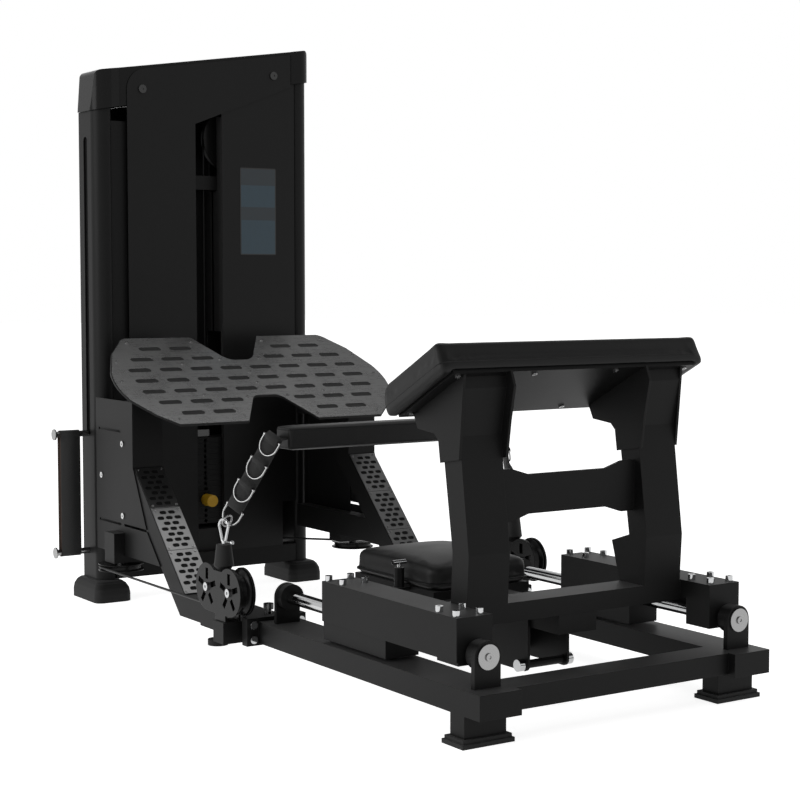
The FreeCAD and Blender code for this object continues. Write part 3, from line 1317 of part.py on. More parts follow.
def carriage():
    """The sliding frame: two boxes on the rods, a cross beam, and the uprights under the back pad."""
    end = box_front + k.box_long
    box_low = box_top - k.box_tube - k.box_skirt
    top = block((box_in, box_out), (box_front, end), (box_top - k.box_tube, box_top))
    skirt = block((box_out - k.skirt_thick, box_out), (box_front, end), (box_low, box_top - k.box_tube))
    parts = [top, skirt]
    front = (box_front, box_front + k.bearing_long)
    slider = (end - k.slider_long, end)
    for y, low in ((front, rod_z - k.bearing_drop), (slider, rail_top + k.slider_gap)):
        parts.append(block((box_in, box_out - k.skirt_thick), y, (low, box_top - k.box_tube)))
    bore = rod("y", (k.side_mid, rod_z), (box_front - k.overrun, end + k.overrun), k.rod_r + k.bore_gap)
    box = cut(joined(*parts), bore)
    y = (yoke_y, yoke_y + k.yoke_beam_deep)
    beam = block((-box_in, box_in), y, (yoke_top - k.yoke_beam_high, yoke_top))
    shares = [column_point(share) for share in column_front_shares]
    rear = [column_point(share) for share in column_rear_shares]
    peak_rear = yoke_y + k.upright_deep * 1.536
    peak_front = yoke_y + k.upright_deep * 0.25
    outline = shares + [(peak_front, back_under(peak_front)), (peak_rear, back_under(peak_rear))] + rear
    column = prism("x", outline[::-1], (k.upright_in, k.upright_out))
    saddle = [column_point(share) for share in saddle_shares]
    far = yoke_y + k.upright_deep * 3.25
    tail = [(far, back_under(far))]
    front = yoke_y + k.upright_deep * 0.08
    outer = [column_point((0.36, 0.64)), *saddle, *tail, (front, back_under(front))]
    x = (k.upright_out, k.upright_out + k.gusset_thick)
    outer_plate = prism("x", outer, x)
    lip = [column_point(share) for share in reversed(inner_lip_shares)]
    front = yoke_y - k.upright_deep * 0.089
    inner = [column_point((0.161, 0.641)), *saddle, *tail, (front, back_under(front)), *lip]
    inner_plate = prism("x", inner, (k.upright_in - k.gusset_thick, k.upright_in))
    foot = [
        (yoke_y + k.upright_deep, yoke_top),
        (yoke_y + k.yoke_beam_deep, yoke_top),
        (yoke_y + k.upright_deep * 1.91, yoke_top + k.upright_high * 0.186),
        column_point(column_rear_shares[1]),
    ]
    foot_plate = prism("x", foot, (k.upright_in, k.upright_in + k.foot_gusset_thick))
    side = joined(box, column, outer_plate, inner_plate, foot_plate)
    y = (yoke_y + k.web_set, yoke_y + k.web_set + k.web_thick)
    low = yoke_top + k.web_low
    middle = low + k.web_high / 2
    waist = k.web_waist / 2
    ways = ((k.web_neck, waist), (k.web_shoulder, k.web_high / 2), (k.upright_in, k.web_high / 2))
    lower = [(x, middle - z) for x, z in ways]
    upper = [(x, middle + z) for x, z in reversed(ways)]
    right = lower + upper
    web = right + [(-x, z) for x, z in reversed(right)]
    web = prism("y", web, y)
    node("carriage_frame", joined(side, mirrored(side), beam, web))
    head = screw(k.cap_screw_r, k.cap_screw_high, k.socket_r)
    heads = []
    for x in (k.side_mid - k.cap_screw_in, k.side_mid + k.cap_screw_out):
        for set_back in (k.cap_screw_near, k.cap_screw_far):
            heads.append(placed(head, x, box_front + set_back, box_top))
            heads.append(placed(head, x, end - set_back + k.cap_screw_near / 2, box_top))
    spot = hanger_spot()
    reach = k.spine_half + k.hanger_thick
    bolt = rod("x", spot, (-reach - k.roller_head_high, reach + k.roller_head_high), k.axle_r)
    ends = both(rod("x", spot, (reach, reach + k.roller_head_high), k.roller_head_r))
    node("carriage_bolts", *both(*heads), joined(bolt, *ends))


def hanger_spot():
    """Where the seat carrier's cross bolt runs."""
    return yoke_y + k.hanger_set + k.roller_set, spine_top - k.hanger_high + k.roller_up


def back_rest():
    """The sloping board on the uprights, its screws and the thick pad on it."""
    frame = dict(tilt=-k.back_tilt, at=(0, back_front, back_up))
    half = k.back_half - k.back_board_end
    spread = (k.back_inset, k.back_long - k.back_inset)
    node("back_board", block((-half, half), spread, (0, k.back_board)), **frame)
    low = k.back_board - k.back_lap
    pad = cushion(
        k.back_half, (0, k.back_long), low, k.back_thick - low,
        k.back_round, 0, k.back_round, 1,
    )
    recess = block(
        (-half - k.rest_gap, half + k.rest_gap),
        (k.back_inset - k.rest_gap, k.back_long - k.back_inset + k.rest_gap),
        (0, k.back_board),
    )
    turn = (k.back_long - k.back_rear_round, k.back_thick - k.back_rear_round)
    reach = (-k.back_half - k.overrun, k.back_half + k.overrun)
    corner = block(reach, (turn[0], k.back_long + k.overrun), (turn[1], k.back_thick + k.overrun))
    node("back_pad", cut(pad, recess, cut(corner, rod("x", turn, reach, k.back_rear_round))), **frame)
    head = screw(k.back_screw_r, k.back_screw_high, k.back_screw_r / 2, "z", -1)
    heads = []
    for x_share, y_share in ((0.34, 0.1), (0.94, 0.1), (0.94, 0.88), (0.3, 0.88)):
        heads.append(placed(head, half * x_share, k.back_long * y_share))
    node("back_screws", *both(*heads), **frame)


def seat():
    """The seat and its carrier: a spine under the seat board, two hanger plates and the pull pin's barrel."""
    board = block(
        (-k.seat_half + k.seat_inset, k.seat_half - k.seat_inset),
        (seat_front + k.seat_inset, seat_front + k.seat_long - k.seat_inset),
        (spine_top - k.seat_tray, seat_low),
    )
    y = (yoke_y, yoke_y + k.spine_long)
    spine = block((-k.spine_half, k.spine_half), y, (spine_top - k.spine_high, spine_top))
    front = yoke_y + k.hanger_set
    z = (spine_top - k.hanger_high, spine_top)
    rear = front + k.hanger_rear
    plate = block((k.spine_half, k.spine_half + k.hanger_thick), (front, rear), z)
    corners = (on(y=front, z=z[0]), on(y=rear, z=z[0]))
    plate = rounded(plate, k.hanger_round, lambda ends: any(test(ends) for test in corners))
    closer = block((-k.spine_half, k.spine_half), (rear - k.hanger_thick, rear), (z[0] + k.hanger_round, z[1]))
    spot = hanger_spot()
    reach = k.spine_half + k.hanger_thick
    bore = rod("x", spot, (-reach - k.overrun, reach + k.overrun), k.axle_r)
    roller = rod("x", spot, (-k.spine_half, k.spine_half), k.roller_r)
    lock_y = seat_front + k.lock_set
    half = k.lock_tab / 2
    tab = block((-k.lock_x - half, -k.seat_half + k.seat_inset), (lock_y - half, lock_y + half), (spine_top, seat_low))
    barrel = rod("z", (-k.lock_x, lock_y), (seat_low, seat_low + k.barrel_high), k.barrel_r)
    hole = rod(
        "z", (-k.lock_x, lock_y), (spine_top - k.overrun, seat_low + k.barrel_high + k.overrun), k.lock_r + k.lock_gap
    )
    frame = joined(board, spine, *both(plate), closer, roller, tab, barrel)
    node("seat_frame", cut(frame, bore, hole))
    y = (seat_front, seat_front + k.seat_long)
    pad = cushion(k.seat_half, y, seat_low, k.seat_thick, k.seat_round, k.seat_crown, k.seat_corner, k.seat_draw)
    node("seat_pad", pad)
    top = seat_low + k.barrel_high + k.lock_stand
    shaft = rod("z", (-k.lock_x, lock_y), (spine_top - k.lock_nose, top), k.lock_r)
    bar = rod("x", (lock_y, top), (-k.lock_x - k.lock_grip / 2, -k.lock_x + k.lock_grip / 2), k.lock_r)
    node("lock_pin", joined(shaft, bar))


def band_pegs():
    """Two pegs with end discs on the left post, and the stretch band between them."""
    y = post_front + k.peg_set
    pegs = []
    for z in (k.peg_low, k.peg_high):
        shaft = rod("x", (y, z), (-k.post_out - k.peg_long, -k.post_out), k.peg_r)
        disc = rod("x", (y, z), (-k.post_out - k.peg_long - k.peg_disc, -k.post_out - k.peg_long), k.peg_disc_r)
        pegs.append(joined(shaft, disc))
    node("band_pegs", *pegs)
    left = -k.post_out - k.peg_long + k.band_end_gap
    x = (left, left + k.band_wide)
    outer = band_loop(y, x, k.peg_r + k.band_gap + k.band_thick, 0)
    inner = band_loop(y, x, k.peg_r + k.band_gap, k.overrun)
    node("stretch_band", cut(outer, inner))


def band_loop(y, x, radius, over):
    """A bar with round ends round both pegs."""
    span = (x[0] - over, x[1] + over)
    ends = [rod("x", (y, z), span, radius) for z in (k.peg_low, k.peg_high)]
    return joined(block(span, (y - radius, y + radius), (k.peg_low, k.peg_high)), *ends)


for make in (
    base_frame, base_feet, guide_rods, rod_end_caps, rail_bumpers, flange_bolts, rear_frame,
    step_plates, step_plate_screws, side_covers, cover_screws, foot_plates,
    tower_frame, tower_feet, top_cap, front_plate, right_panel, left_strip, gap_closers, rear_shield,
    stack_guides, stack_base, weight_stack, pin_lanyard,
    pulley_brackets, pulley_axles, pulley_boxes, pulleys, drive_cables,
    belt, carriage, back_rest, seat, band_pegs,
):
    make()

doc.recompute()
failed = [item.Label for item in doc.Objects if {"Invalid", "Error"} & set(item.State)]
broken = [item.Label for item in nodes if item.Shape.isNull() or not item.Shape.isValid()]
if failed or broken:
    raise RuntimeError(f"failed: {failed}, broken: {broken}")
os.makedirs("parts", exist_ok=True)
for item in nodes:
    item.Shape.exportStep(f"parts/{item.Label}.step")
print(f"{len(nodes)} nodes, {sum(len(item.Shape.Solids) for item in nodes)} solids")
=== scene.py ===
# %% [markdown]
# # A glute bridge machine
#
# The construction comes from the CAD model: every tube, plate, bolt and pulley is already in place, in
# metres. This script gives the machine its looks. It paints the metal, stuffs the pads, weaves the straps
# and sets up a plain studio. Nothing here moves or resizes a CAD part.

import math

import bmesh
import bpy
from mathutils import Matrix, Quaternion, Vector


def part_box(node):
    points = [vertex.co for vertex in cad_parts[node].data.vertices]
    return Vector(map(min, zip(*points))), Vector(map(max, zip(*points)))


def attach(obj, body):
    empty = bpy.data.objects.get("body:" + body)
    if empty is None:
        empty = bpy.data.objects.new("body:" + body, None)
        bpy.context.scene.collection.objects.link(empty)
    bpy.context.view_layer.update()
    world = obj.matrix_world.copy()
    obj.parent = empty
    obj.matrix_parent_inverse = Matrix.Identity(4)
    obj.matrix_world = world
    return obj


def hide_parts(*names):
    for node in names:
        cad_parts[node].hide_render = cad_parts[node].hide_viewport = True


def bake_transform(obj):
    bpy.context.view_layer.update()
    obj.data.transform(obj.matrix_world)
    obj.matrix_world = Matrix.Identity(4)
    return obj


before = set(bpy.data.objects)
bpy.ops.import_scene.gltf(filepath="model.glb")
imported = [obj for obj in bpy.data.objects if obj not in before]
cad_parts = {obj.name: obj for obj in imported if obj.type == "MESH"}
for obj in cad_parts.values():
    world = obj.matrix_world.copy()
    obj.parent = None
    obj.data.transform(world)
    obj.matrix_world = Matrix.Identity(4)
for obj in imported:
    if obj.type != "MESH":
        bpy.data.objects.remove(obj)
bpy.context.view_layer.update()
scene = bpy.context.scene
scene.view_settings.view_transform = "Standard"
MM = 0.001

# %% [markdown]
# ## Camera
#
# The photograph was taken with a long lens from low on the machine's left. Its place was solved from the
# edges that run along and across the rails, so the render can be laid over the photograph. Yaw turns from
# +Y towards +X, and the camera looks slightly down.

# %% Camera
CAMERA_PLACE = Vector((-2.2876, -3.6081, 0.8936))
CAMERA_YAW = math.radians(33.490)
CAMERA_PITCH = math.radians(3.957)
CAMERA_LENS = 78.33

camera = bpy.data.objects.new("camera", bpy.data.cameras.new("camera"))
scene.collection.objects.link(camera)
scene.camera = camera
camera.data.lens = CAMERA_LENS
camera.location = CAMERA_PLACE
camera.rotation_euler = (math.pi / 2 - CAMERA_PITCH, 0, -CAMERA_YAW)
print("camera at", [round(v, 3) for v in CAMERA_PLACE])

# %% [markdown]
# ## Shader maths as Python
#
# A material is a net of small nodes. Wiring them one by one is long to write and hard to read, so a wire
# here is a Python value: `1 - mask` or `noise * 0.2` adds the Math node that works it out. Every other node
# comes from one method that takes its type, its settings and what goes into its sockets.

# %% Wires and nets
class Wire:
    """One output socket, on which Python's operators add Math nodes."""

    def __init__(self, net, socket):
        self.net = net
        self.socket = socket

    def maths(self, operation, *values):
        return self.net.node("Math", {"operation": operation}, values)

    def __add__(self, other):
        return self.maths("ADD", self, other)

    def __sub__(self, other):
        return self.maths("SUBTRACT", self, other)

    def __rsub__(self, other):
        return self.maths("SUBTRACT", other, self)

    def __mul__(self, other):
        return self.maths("MULTIPLY", self, other)

    def __truediv__(self, other):
        return self.maths("DIVIDE", self, other)

    def __gt__(self, other):
        return self.maths("GREATER_THAN", self, other)

    def __lt__(self, other):
        return self.maths("LESS_THAN", self, other)

    def wave(self):
        return self.maths("SINE", self)

    def size(self):
        return self.maths("ABSOLUTE", self)

    def held(self):
        return self.net.node("Clamp", {}, (self, 0, 1))

    __radd__ = __add__
    __rmul__ = __mul__


class Net:
    """One tree of nodes. The node method adds any node and returns its first live output."""

    def __init__(self, tree):
        self.tree = tree
        tree.nodes.clear()

    def node(self, kind, settings={}, values=(), out=0, **named):
        made = self.tree.nodes.new("ShaderNode" + kind)
        for name, value in settings.items():
            if name == "stops":
                self.set_stops(made.color_ramp, value)
            else:
                setattr(made, name, value)
        live = [socket for socket in made.inputs if socket.enabled]
        pairs = list(zip(live, values))
        for name, value in named.items():
            wanted = name.replace("_", " ")
            pairs.append((next(s for s in live if s.name == wanted), value))
        for socket, value in pairs:
            if isinstance(value, Wire):
                self.tree.links.new(value.socket, socket)
            else:
                socket.default_value = value
        outputs = [socket for socket in made.outputs if socket.enabled]
        if isinstance(out, str):
            return Wire(self, next(s for s in outputs if s.name == out))
        return Wire(self, outputs[out]) if outputs else None

    def set_stops(self, ramp, stops):
        while len(ramp.elements) < len(stops):
            ramp.elements.new(1)
        for element, (place, color) in zip(ramp.elements, stops):
            element.position = place
            element.color = color

    def place(self):
        return self.node("TexCoord", out="Object")

    def parts(self, vector):
        made = self.node("SeparateXYZ", {}, (vector,)).socket.node
        return [Wire(self, socket) for socket in made.outputs]

    def noise(self, scale, detail=3, place=None, rough=0.5):
        return self.node(
            "TexNoise", {}, Vector=place or self.place(), Scale=scale, Detail=detail, Roughness=rough
        )

    def mix(self, share, one, two):
        return self.node("Mix", {"data_type": "RGBA"}, Factor=share, A=one, B=two)

    def corner(self, radius):
        """A normal that rounds the light on corners."""
        return self.node("Bevel", {"samples": 4}, Radius=radius)

    def bump(self, height, depth, strength=1.0, normal=None):
        made = {"Height": height, "Distance": depth, "Strength": strength}
        if normal:
            made["Normal"] = normal
        return self.node("Bump", **made)


def grey(level, warm=0.0):
    """An opaque grey of that linear level, a touch warmer or cooler."""
    return (level * (1 + warm), level, level * (1 - warm), 1)


def finish(name):
    """A new empty material and its net."""
    material = bpy.data.materials.new(name)
    material.use_nodes = True
    return material, Net(material.node_tree)


def shade(net, **sockets):
    """The material's one shader, wired to its output."""
    shader = net.node("BsdfPrincipled", {}, **sockets)
    net.node("OutputMaterial", Surface=shader)


print("nets are ready")

# %% [markdown]
# ## Studio
#
# The photograph has a white ground and a black machine, which shows its form by the pale edges and by how
# much light each side sends back. A white world seen by the camera and by gloss does most of this. Right
# overhead the world is darker, as a studio's ceiling is, so that bright metal has something to reflect
# besides white. A large soft lamp lights the left side and a weaker one the top. The floor is white to the
# camera and to gloss, and still takes the machine's shadow.

# %% Studio
HORIZON_LEVEL = 1.0
CEILING_LEVEL = 0.10
FILL_LEVEL = 0.45
# Heights on the world's sphere, where 0 is the horizon and 1 is overhead
CEILING_STARTS = 0.50
CEILING_ENDS = 0.75

world = bpy.data.worlds.new("studio")
scene.world = world
world.use_nodes = True
net = Net(world.node_tree)
height = net.parts(net.node("TexCoord", out="Generated"))[2]
rise = ((height - CEILING_STARTS) / (CEILING_ENDS - CEILING_STARTS)).held()
RAY_KINDS = ("Is Camera Ray", "Is Glossy Ray", "Is Transmission Ray")
seen, gloss, clear = (net.node("LightPath", out=kind) for kind in RAY_KINDS)
reflected = rise * (CEILING_LEVEL - HORIZON_LEVEL) + HORIZON_LEVEL
unlit = (1 - (seen + gloss + clear)).held()
level = seen * HORIZON_LEVEL + (gloss + clear).held() * reflected + unlit * FILL_LEVEL
background = net.node("Background", {}, Color=grey(1), Strength=level)
net.node("OutputWorld", Surface=background)


def soft_lamp(name, place, target, wide, high, power):
    """A rectangular lamp that faces its target."""
    lamp = bpy.data.objects.new(name, bpy.data.lights.new(name, "AREA"))
    scene.collection.objects.link(lamp)
    lamp.data.shape = "RECTANGLE"
    lamp.data.size = wide
    lamp.data.size_y = high
    lamp.data.energy = power
    lamp.location = place
    lamp.rotation_mode = "QUATERNION"
    lamp.rotation_quaternion = (Vector(target) - Vector(place)).to_track_quat("-Z", "Y")


soft_lamp("left_lamp", (-4.2, 0.6, 1.6), (0, 0, 0.6), wide=2.6, high=2.2, power=68)
soft_lamp("top_lamp", (0.4, 0.2, 3.4), (0, 0.3, 0.4), wide=2.2, high=2.4, power=20)

FLOOR_HALF = 30
FLOOR_PAINT = 0.82
FLOOR_GLOW = 0.85
floor_mesh = bmesh.new()
bmesh.ops.create_grid(floor_mesh, x_segments=1, y_segments=1, size=FLOOR_HALF)
floor = bpy.data.objects.new("floor", bpy.data.meshes.new("floor"))
floor_mesh.to_mesh(floor.data)
floor_mesh.free()
scene.collection.objects.link(floor)

floor_paint, net = finish("floor_paint")
seen, gloss, clear = (net.node("LightPath", out=kind) for kind in RAY_KINDS)
matt = net.node("BsdfDiffuse", Color=grey(FLOOR_PAINT))
glow = net.node("Emission", Color=grey(1), Strength=FLOOR_GLOW)
plain = net.node("AddShader", {}, (matt, glow))
shown = net.node("MixShader", {}, ((seen + gloss + clear).held(), matt, plain))
net.node("OutputMaterial", Surface=shown)
floor.data.materials.append(floor_paint)
print("studio is lit")

# %% [markdown]
# ## Powder coat
#
# Nearly all of the frame is steel with a satin black powder coat. Baked powder is never quite flat: it has a
# fine orange peel and its sheen drifts a little. Real corners are rounded by the coat, which is what draws
# the thin pale lines in the photograph, so a Bevel node rounds the light there. What faces up is painted a
# little lighter, partly as a thin veil of dust and partly as painted light from above.

# %% Powder coat
EDGE_ROUND = 1.2 * MM
PLATE_ROUND = 0.8 * MM
DUST_AND_TOP_LIGHT_FROM = 0.75
PEEL_SCALE = 700
PEEL_DEPTH = 0.15 * MM


def with_dust_and_top_light(net, base, dust_and_top_light, amount):
    """A base colour made lighter by dust and painted top light where the surface looks up."""
    up = net.parts(net.node("NewGeometry", out="Normal"))[2]
    # What faces up is lighter: partly dust, partly painted light from above.
    dust_and_top_light_veil = ((up - DUST_AND_TOP_LIGHT_FROM) / (1 - DUST_AND_TOP_LIGHT_FROM)).held() * (net.noise(9, 4) * 0.6 + 0.7)
    return net.mix(dust_and_top_light_veil * amount, base, dust_and_top_light)


def coated(name, level, rough, peel, dust_and_top_light, edge=EDGE_ROUND, specular=0.11):
    """Painted metal or moulded plastic: a dark colour, fine peel and softly lit corners."""
    material, net = finish(name)
    drift = net.noise(7, 4)
    color = net.mix(drift, grey(level * 0.8), grey(level * 1.25))
    # Lighter where it faces up: dust and painted top light.
    color = with_dust_and_top_light(net, color, grey(0.09), dust_and_top_light)
    normal = net.bump(net.noise(PEEL_SCALE, 2), PEEL_DEPTH, peel, net.corner(edge))
    shade(
        net, Base_Color=color, Roughness=drift * 0.08 + (rough - 0.04),
        Specular_IOR_Level=specular, Normal=normal,
    )
    return material


# Each coat's dust share makes what faces up lighter, by dust and by painted top light.
powder = coated("powder", level=0.0065, rough=0.46, peel=0.25, dust_and_top_light=0.5)
gloss_black = coated("gloss_black", level=0.006, rough=0.24, peel=0.05, dust_and_top_light=0.2, edge=1.5 * MM)
box_paint = coated("box_paint", level=0.0085, rough=0.52, peel=0.3, dust_and_top_light=0.6)
plate_paint = coated("plate_paint", level=0.010, rough=0.50, peel=0.6, dust_and_top_light=0.3, edge=PLATE_ROUND)
nylon_black = coated("nylon_black", level=0.008, rough=0.22, peel=0.05, dust_and_top_light=0.1, edge=0.6 * MM)
rubber_black = coated(
    "rubber_black", level=0.012, rough=0.62, peel=0.5, dust_and_top_light=0.5, edge=1.5 * MM, specular=0.2,
)
cable_black = coated("cable_black", level=0.010, rough=0.35, peel=0.1, dust_and_top_light=0.1, edge=0.3 * MM)

# The panels' edges are folded back beside the window; a lighter strip there is a painted highlight
FOLD_HIGHLIGHT_FROM = 0.848
FOLD_HIGHLIGHT_X = 0.050
FOLD_HIGHLIGHT_HALF = 4 * MM
PANEL_PEEL = 0.12
panel_paint, net = finish("panel_paint")
x, y, _ = net.parts(net.place())
# A painted highlight: the strip along the fold beside the window is lighter.
painted_fold_highlight = (y > FOLD_HIGHLIGHT_FROM) * ((x - FOLD_HIGHLIGHT_X).size() < FOLD_HIGHLIGHT_HALF)
drift = net.noise(7, 4)
# The fold strip's lighter grey is the painted highlight.
shade(
    net, Base_Color=net.mix(painted_fold_highlight, net.mix(drift, grey(0.005), grey(0.0075)), grey(0.030)),
    Roughness=drift * 0.08 + 0.36, Specular_IOR_Level=0.14,
    Normal=net.bump(net.noise(PEEL_SCALE, 2), PEEL_DEPTH, PANEL_PEEL, net.corner(PLATE_ROUND)),
)
print("coats are mixed")

# %% [markdown]
# ## Bare metal
#
# Four finishes of bare metal show: polished chrome on the rods, bolts and hooks, zinc on the rings and small
# screws, darkened steel on the bumpers, and the brushed steel of the foot sheet. A metal's look is almost
# all reflection, so the work goes into its roughness: faint smudges on chrome, fine lines on brushed steel.

# %% Bare metal
METAL_EDGE = 0.4 * MM


def brushing(net, lines):
    """Fine grain. Lines are its scale along each axis."""
    along = net.node("Mapping", {}, Vector=net.place(), Scale=lines)
    return net.noise(1.0, 4, along, 0.7)


def toned(color, share):
    """A darker or lighter opaque colour."""
    return [level * share for level in color[:3]] + [1]


def metal(name, color, rough, smudge, lines=None):
    """Bare metal with smudges, and brushed where lines are given."""
    material, net = finish(name)
    normal = net.corner(METAL_EDGE)
    roughness = net.noise(22, 5) * smudge + (rough - smudge / 2)
    if lines:
        grain = brushing(net, lines)
        normal = net.bump(grain, 0.05 * MM, 0.25, normal)
        roughness = roughness + grain * 0.12
        color = net.mix(grain, toned(color, 0.85), toned(color, 1.1))
    shade(net, Base_Color=color, Metallic=1.0, Roughness=roughness, Normal=normal)
    return material


chrome = metal("chrome", grey(0.46, -0.01), rough=0.10, smudge=0.05)
zinc = metal("zinc", grey(0.28), rough=0.25, smudge=0.12)
brushed = metal("brushed", grey(0.38), rough=0.22, smudge=0.08, lines=(6, 900, 900))
dark_steel = metal("dark_steel", grey(0.10), rough=0.32, smudge=0.10)

# The screws of the covers are chrome low down and black on the tower, and the stem's yoke is black
YOKE_FROM = 0.4386
YOKE_HALF = 0.060
TOWER_SCREWS_FROM = 1.0
chrome_below, net = finish("chrome_below")
x, _, height = net.parts(net.place())
yoke = (height > YOKE_FROM) * (x.size() < YOKE_HALF)
black = (yoke + (height > TOWER_SCREWS_FROM)).held()
shade(
    net, Base_Color=net.mix(black, grey(0.50), grey(0.006)), Metallic=1 - black,
    Roughness=net.noise(22, 5) * 0.05 + 0.10, Normal=net.corner(METAL_EDGE),
)
print("metals are mixed")

# %% [markdown]
# ## Step plates
#
# Six thin perforated plates climb the legs. Five are bare steel and the upper left one is black, so one
# material paints both: a mask from the place on the machine turns the metal into paint.

# %% Step plates
BLACK_PLATE_FROM = 0.3075
step_steel, net = finish("step_steel")
across, _, height = net.parts(net.place())
black = (across < 0.0) * (height > BLACK_PLATE_FROM)
grain = brushing(net, (500, 12, 12))
steel = net.mix(grain, grey(0.22), grey(0.30))
shade(
    net, Base_Color=net.mix(black, steel, grey(0.008)), Metallic=1 - black,
    Roughness=black * 0.12 + grain * 0.1 + 0.28,
    Normal=net.bump(grain, 0.04 * MM, 0.2, net.corner(METAL_EDGE)),
)
print("step plates are painted")

# %% [markdown]
# ## Yellow knob
#
# The selector pin's knob is the machine's one bright colour. It is moulded plastic with a faintly worn
# sheen.

# %% Yellow knob
yellow, net = finish("yellow")
wear = net.noise(120, 4)
shade(
    net, Base_Color=net.mix(wear, (0.60, 0.33, 0.012, 1), (0.72, 0.42, 0.02, 1)),
    Roughness=wear * 0.2 + 0.3, Normal=net.bump(wear, 0.1 * MM, 0.3),
)
print("knob is yellow")

# %% [markdown]
# ## Vinyl, webbing and elastic
#
# The pads are covered in black vinyl with a fine grain. Its sewn seams are narrower than the simulated mesh
# can carry, so the material draws them: a seam is a line where a coordinate has one value, pressed in and a
# little darker. The strap is woven, which its own UV map lays out along it, and the stretch band has fine
# ribs.

# %% Vinyl, webbing and elastic
SEAM_HALF = 1.1 * MM


def seam_line(coordinate, value):
    """1 on the line where the coordinate has that value, falling to 0 beside it."""
    return (1 - (coordinate - value).size() / SEAM_HALF).held()


def vinyl(name, seams):
    """Grained cover. Seams is a function of x, y and z wires that gives the seam mask."""
    material, net = finish(name)
    grain = net.node("TexVoronoi", {}, Vector=net.place(), Scale=700.0)
    wear = net.noise(14, 4)
    seam = seams(*net.parts(net.place()))
    normal = net.bump(grain, 0.15 * MM, 0.35)
    normal = net.bump(net.noise(30, 3), 1.2 * MM, 0.25, normal)
    normal = net.bump(1 - seam, 1.2 * MM, 1.0, normal)
    color = net.mix(seam * 0.7, net.mix(wear, grey(0.006), grey(0.010)), grey(0.003))
    # Lighter where it faces up: dust and painted top light.
    color = with_dust_and_top_light(net, color, grey(0.05), 0.25)
    shade(net, Base_Color=color, Roughness=wear * 0.12 + 0.42, Specular_IOR_Level=0.18, Normal=normal)
    return material


def woven(name, dark, light, across, along):
    """Woven strap: ridges across and along its UV map between two colours, and a dull sheen."""
    material, net = finish(name)
    u, v, _ = net.parts(net.node("UVMap"))
    weave = (u * across).wave() * (v * along).wave() * 0.5 + 0.5
    shade(
        net, Base_Color=net.mix(weave, dark, light), Roughness=weave * 0.1 + 0.75,
        Normal=net.bump(weave, 0.5 * MM, 0.7),
    )
    return material


webbing = woven("webbing", grey(0.004), grey(0.010), 150, 2600)
band_outside = woven("band_outside", grey(0.010), grey(0.028), 120, 3000)
band_inside = woven("band_inside", (0.016, 0.006, 0.002, 1), (0.034, 0.012, 0.004, 1), 120, 3000)
print("covers are ready")

# %% [markdown]
# ## Pads
#
# A pad is foam under a stretched cover: nearly a block, with rolled edges and faces that swell a little
# between the seams. A block with bevelled edges gets that life from Blender's Cloth. It is remeshed to small
# even faces, blown up by pressure for twenty frames while its base is held, and the swelling is kept to a
# few millimetres, because the foam is firm.

# %% Pads
FRAMES = 20


def rolled(made, edges, offset, segments):
    """Rounds these edges."""
    bmesh.ops.bevel(
        made, geom=edges, offset=offset, segments=segments, profile=0.5, affect="EDGES", material=-1,
    )


def run_along(edge, axis):
    """How far an edge runs along x, y or z."""
    return abs(edge.verts[0].co[axis] - edge.verts[1].co[axis])


def is_sharp(edge):
    return edge.calc_face_angle(0) > 1


def block_mesh(size, corner, rim):
    """A closed block about the origin with rounded upright corners and rolled rims."""
    made = bmesh.new()
    bmesh.ops.create_cube(made, size=1, matrix=Matrix.Diagonal((*size, 1)))
    rolled(made, [e for e in made.edges if run_along(e, 2) > size[2] / 2], corner, 5)
    rolled(made, [e for e in made.edges if run_along(e, 2) < 1e-6 and is_sharp(e)], rim, 4)
    return made


def piece(name, made, *materials):
    """A finished mesh as an object at the origin."""
    bmesh.ops.recalc_face_normals(made, faces=made.faces)
    data = bpy.data.meshes.new(name)
    made.to_mesh(data)
    made.free()
    data.shade_smooth()
    for material in materials:
        data.materials.append(material)
    thing = bpy.data.objects.new(name, data)
    scene.collection.objects.link(thing)
    return thing


def baked(thing):
    """Turns the modifiers' result into the object's own mesh."""
    graph = bpy.context.evaluated_depsgraph_get()
    thing.data = bpy.data.meshes.new_from_object(thing.evaluated_get(graph))
    thing.modifiers.clear()


def swollen(thing, voxel, held, pressure, cap):
    """Blows the cover up a little. The points that the test picks are held."""
    remesh = thing.modifiers.new("even", "REMESH")
    remesh.mode = "VOXEL"
    remesh.voxel_size = voxel
    remesh.use_smooth_shade = True
    baked(thing)
    before = [point.co.copy() for point in thing.data.vertices]
    group = thing.vertex_groups.new(name="held")
    group.add([point.index for point in thing.data.vertices if held(point.co)], 1, "REPLACE")
    cloth = thing.modifiers.new("cloth", "CLOTH")
    cloth.settings.vertex_group_mass = group.name
    cloth.settings.use_pressure = True
    cloth.settings.uniform_pressure_force = pressure
    cloth.settings.effector_weights.gravity = 0
    cloth.point_cache.frame_end = FRAMES
    for count in range(1, FRAMES + 1):
        scene.frame_set(count)
    baked(thing)
    for point, start in zip(thing.data.vertices, before):
        move = point.co - start
        point.co = start + move * min(1, cap / max(move.length, 1e-9))
    moved = max((point.co - start).length for point, start in zip(thing.data.vertices, before))
    print(f"{thing.name}: {len(before)} points, swollen by up to {moved / MM:.1f} mm")


def upholstered(thing, node, body):
    """Gives a pad one step of subdivision, hides the CAD solid it stands for and attaches it to its body."""
    finer = thing.modifiers.new("finer", "SUBSURF")
    finer.levels = finer.render_levels = 1
    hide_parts(node)
    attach(thing, body)


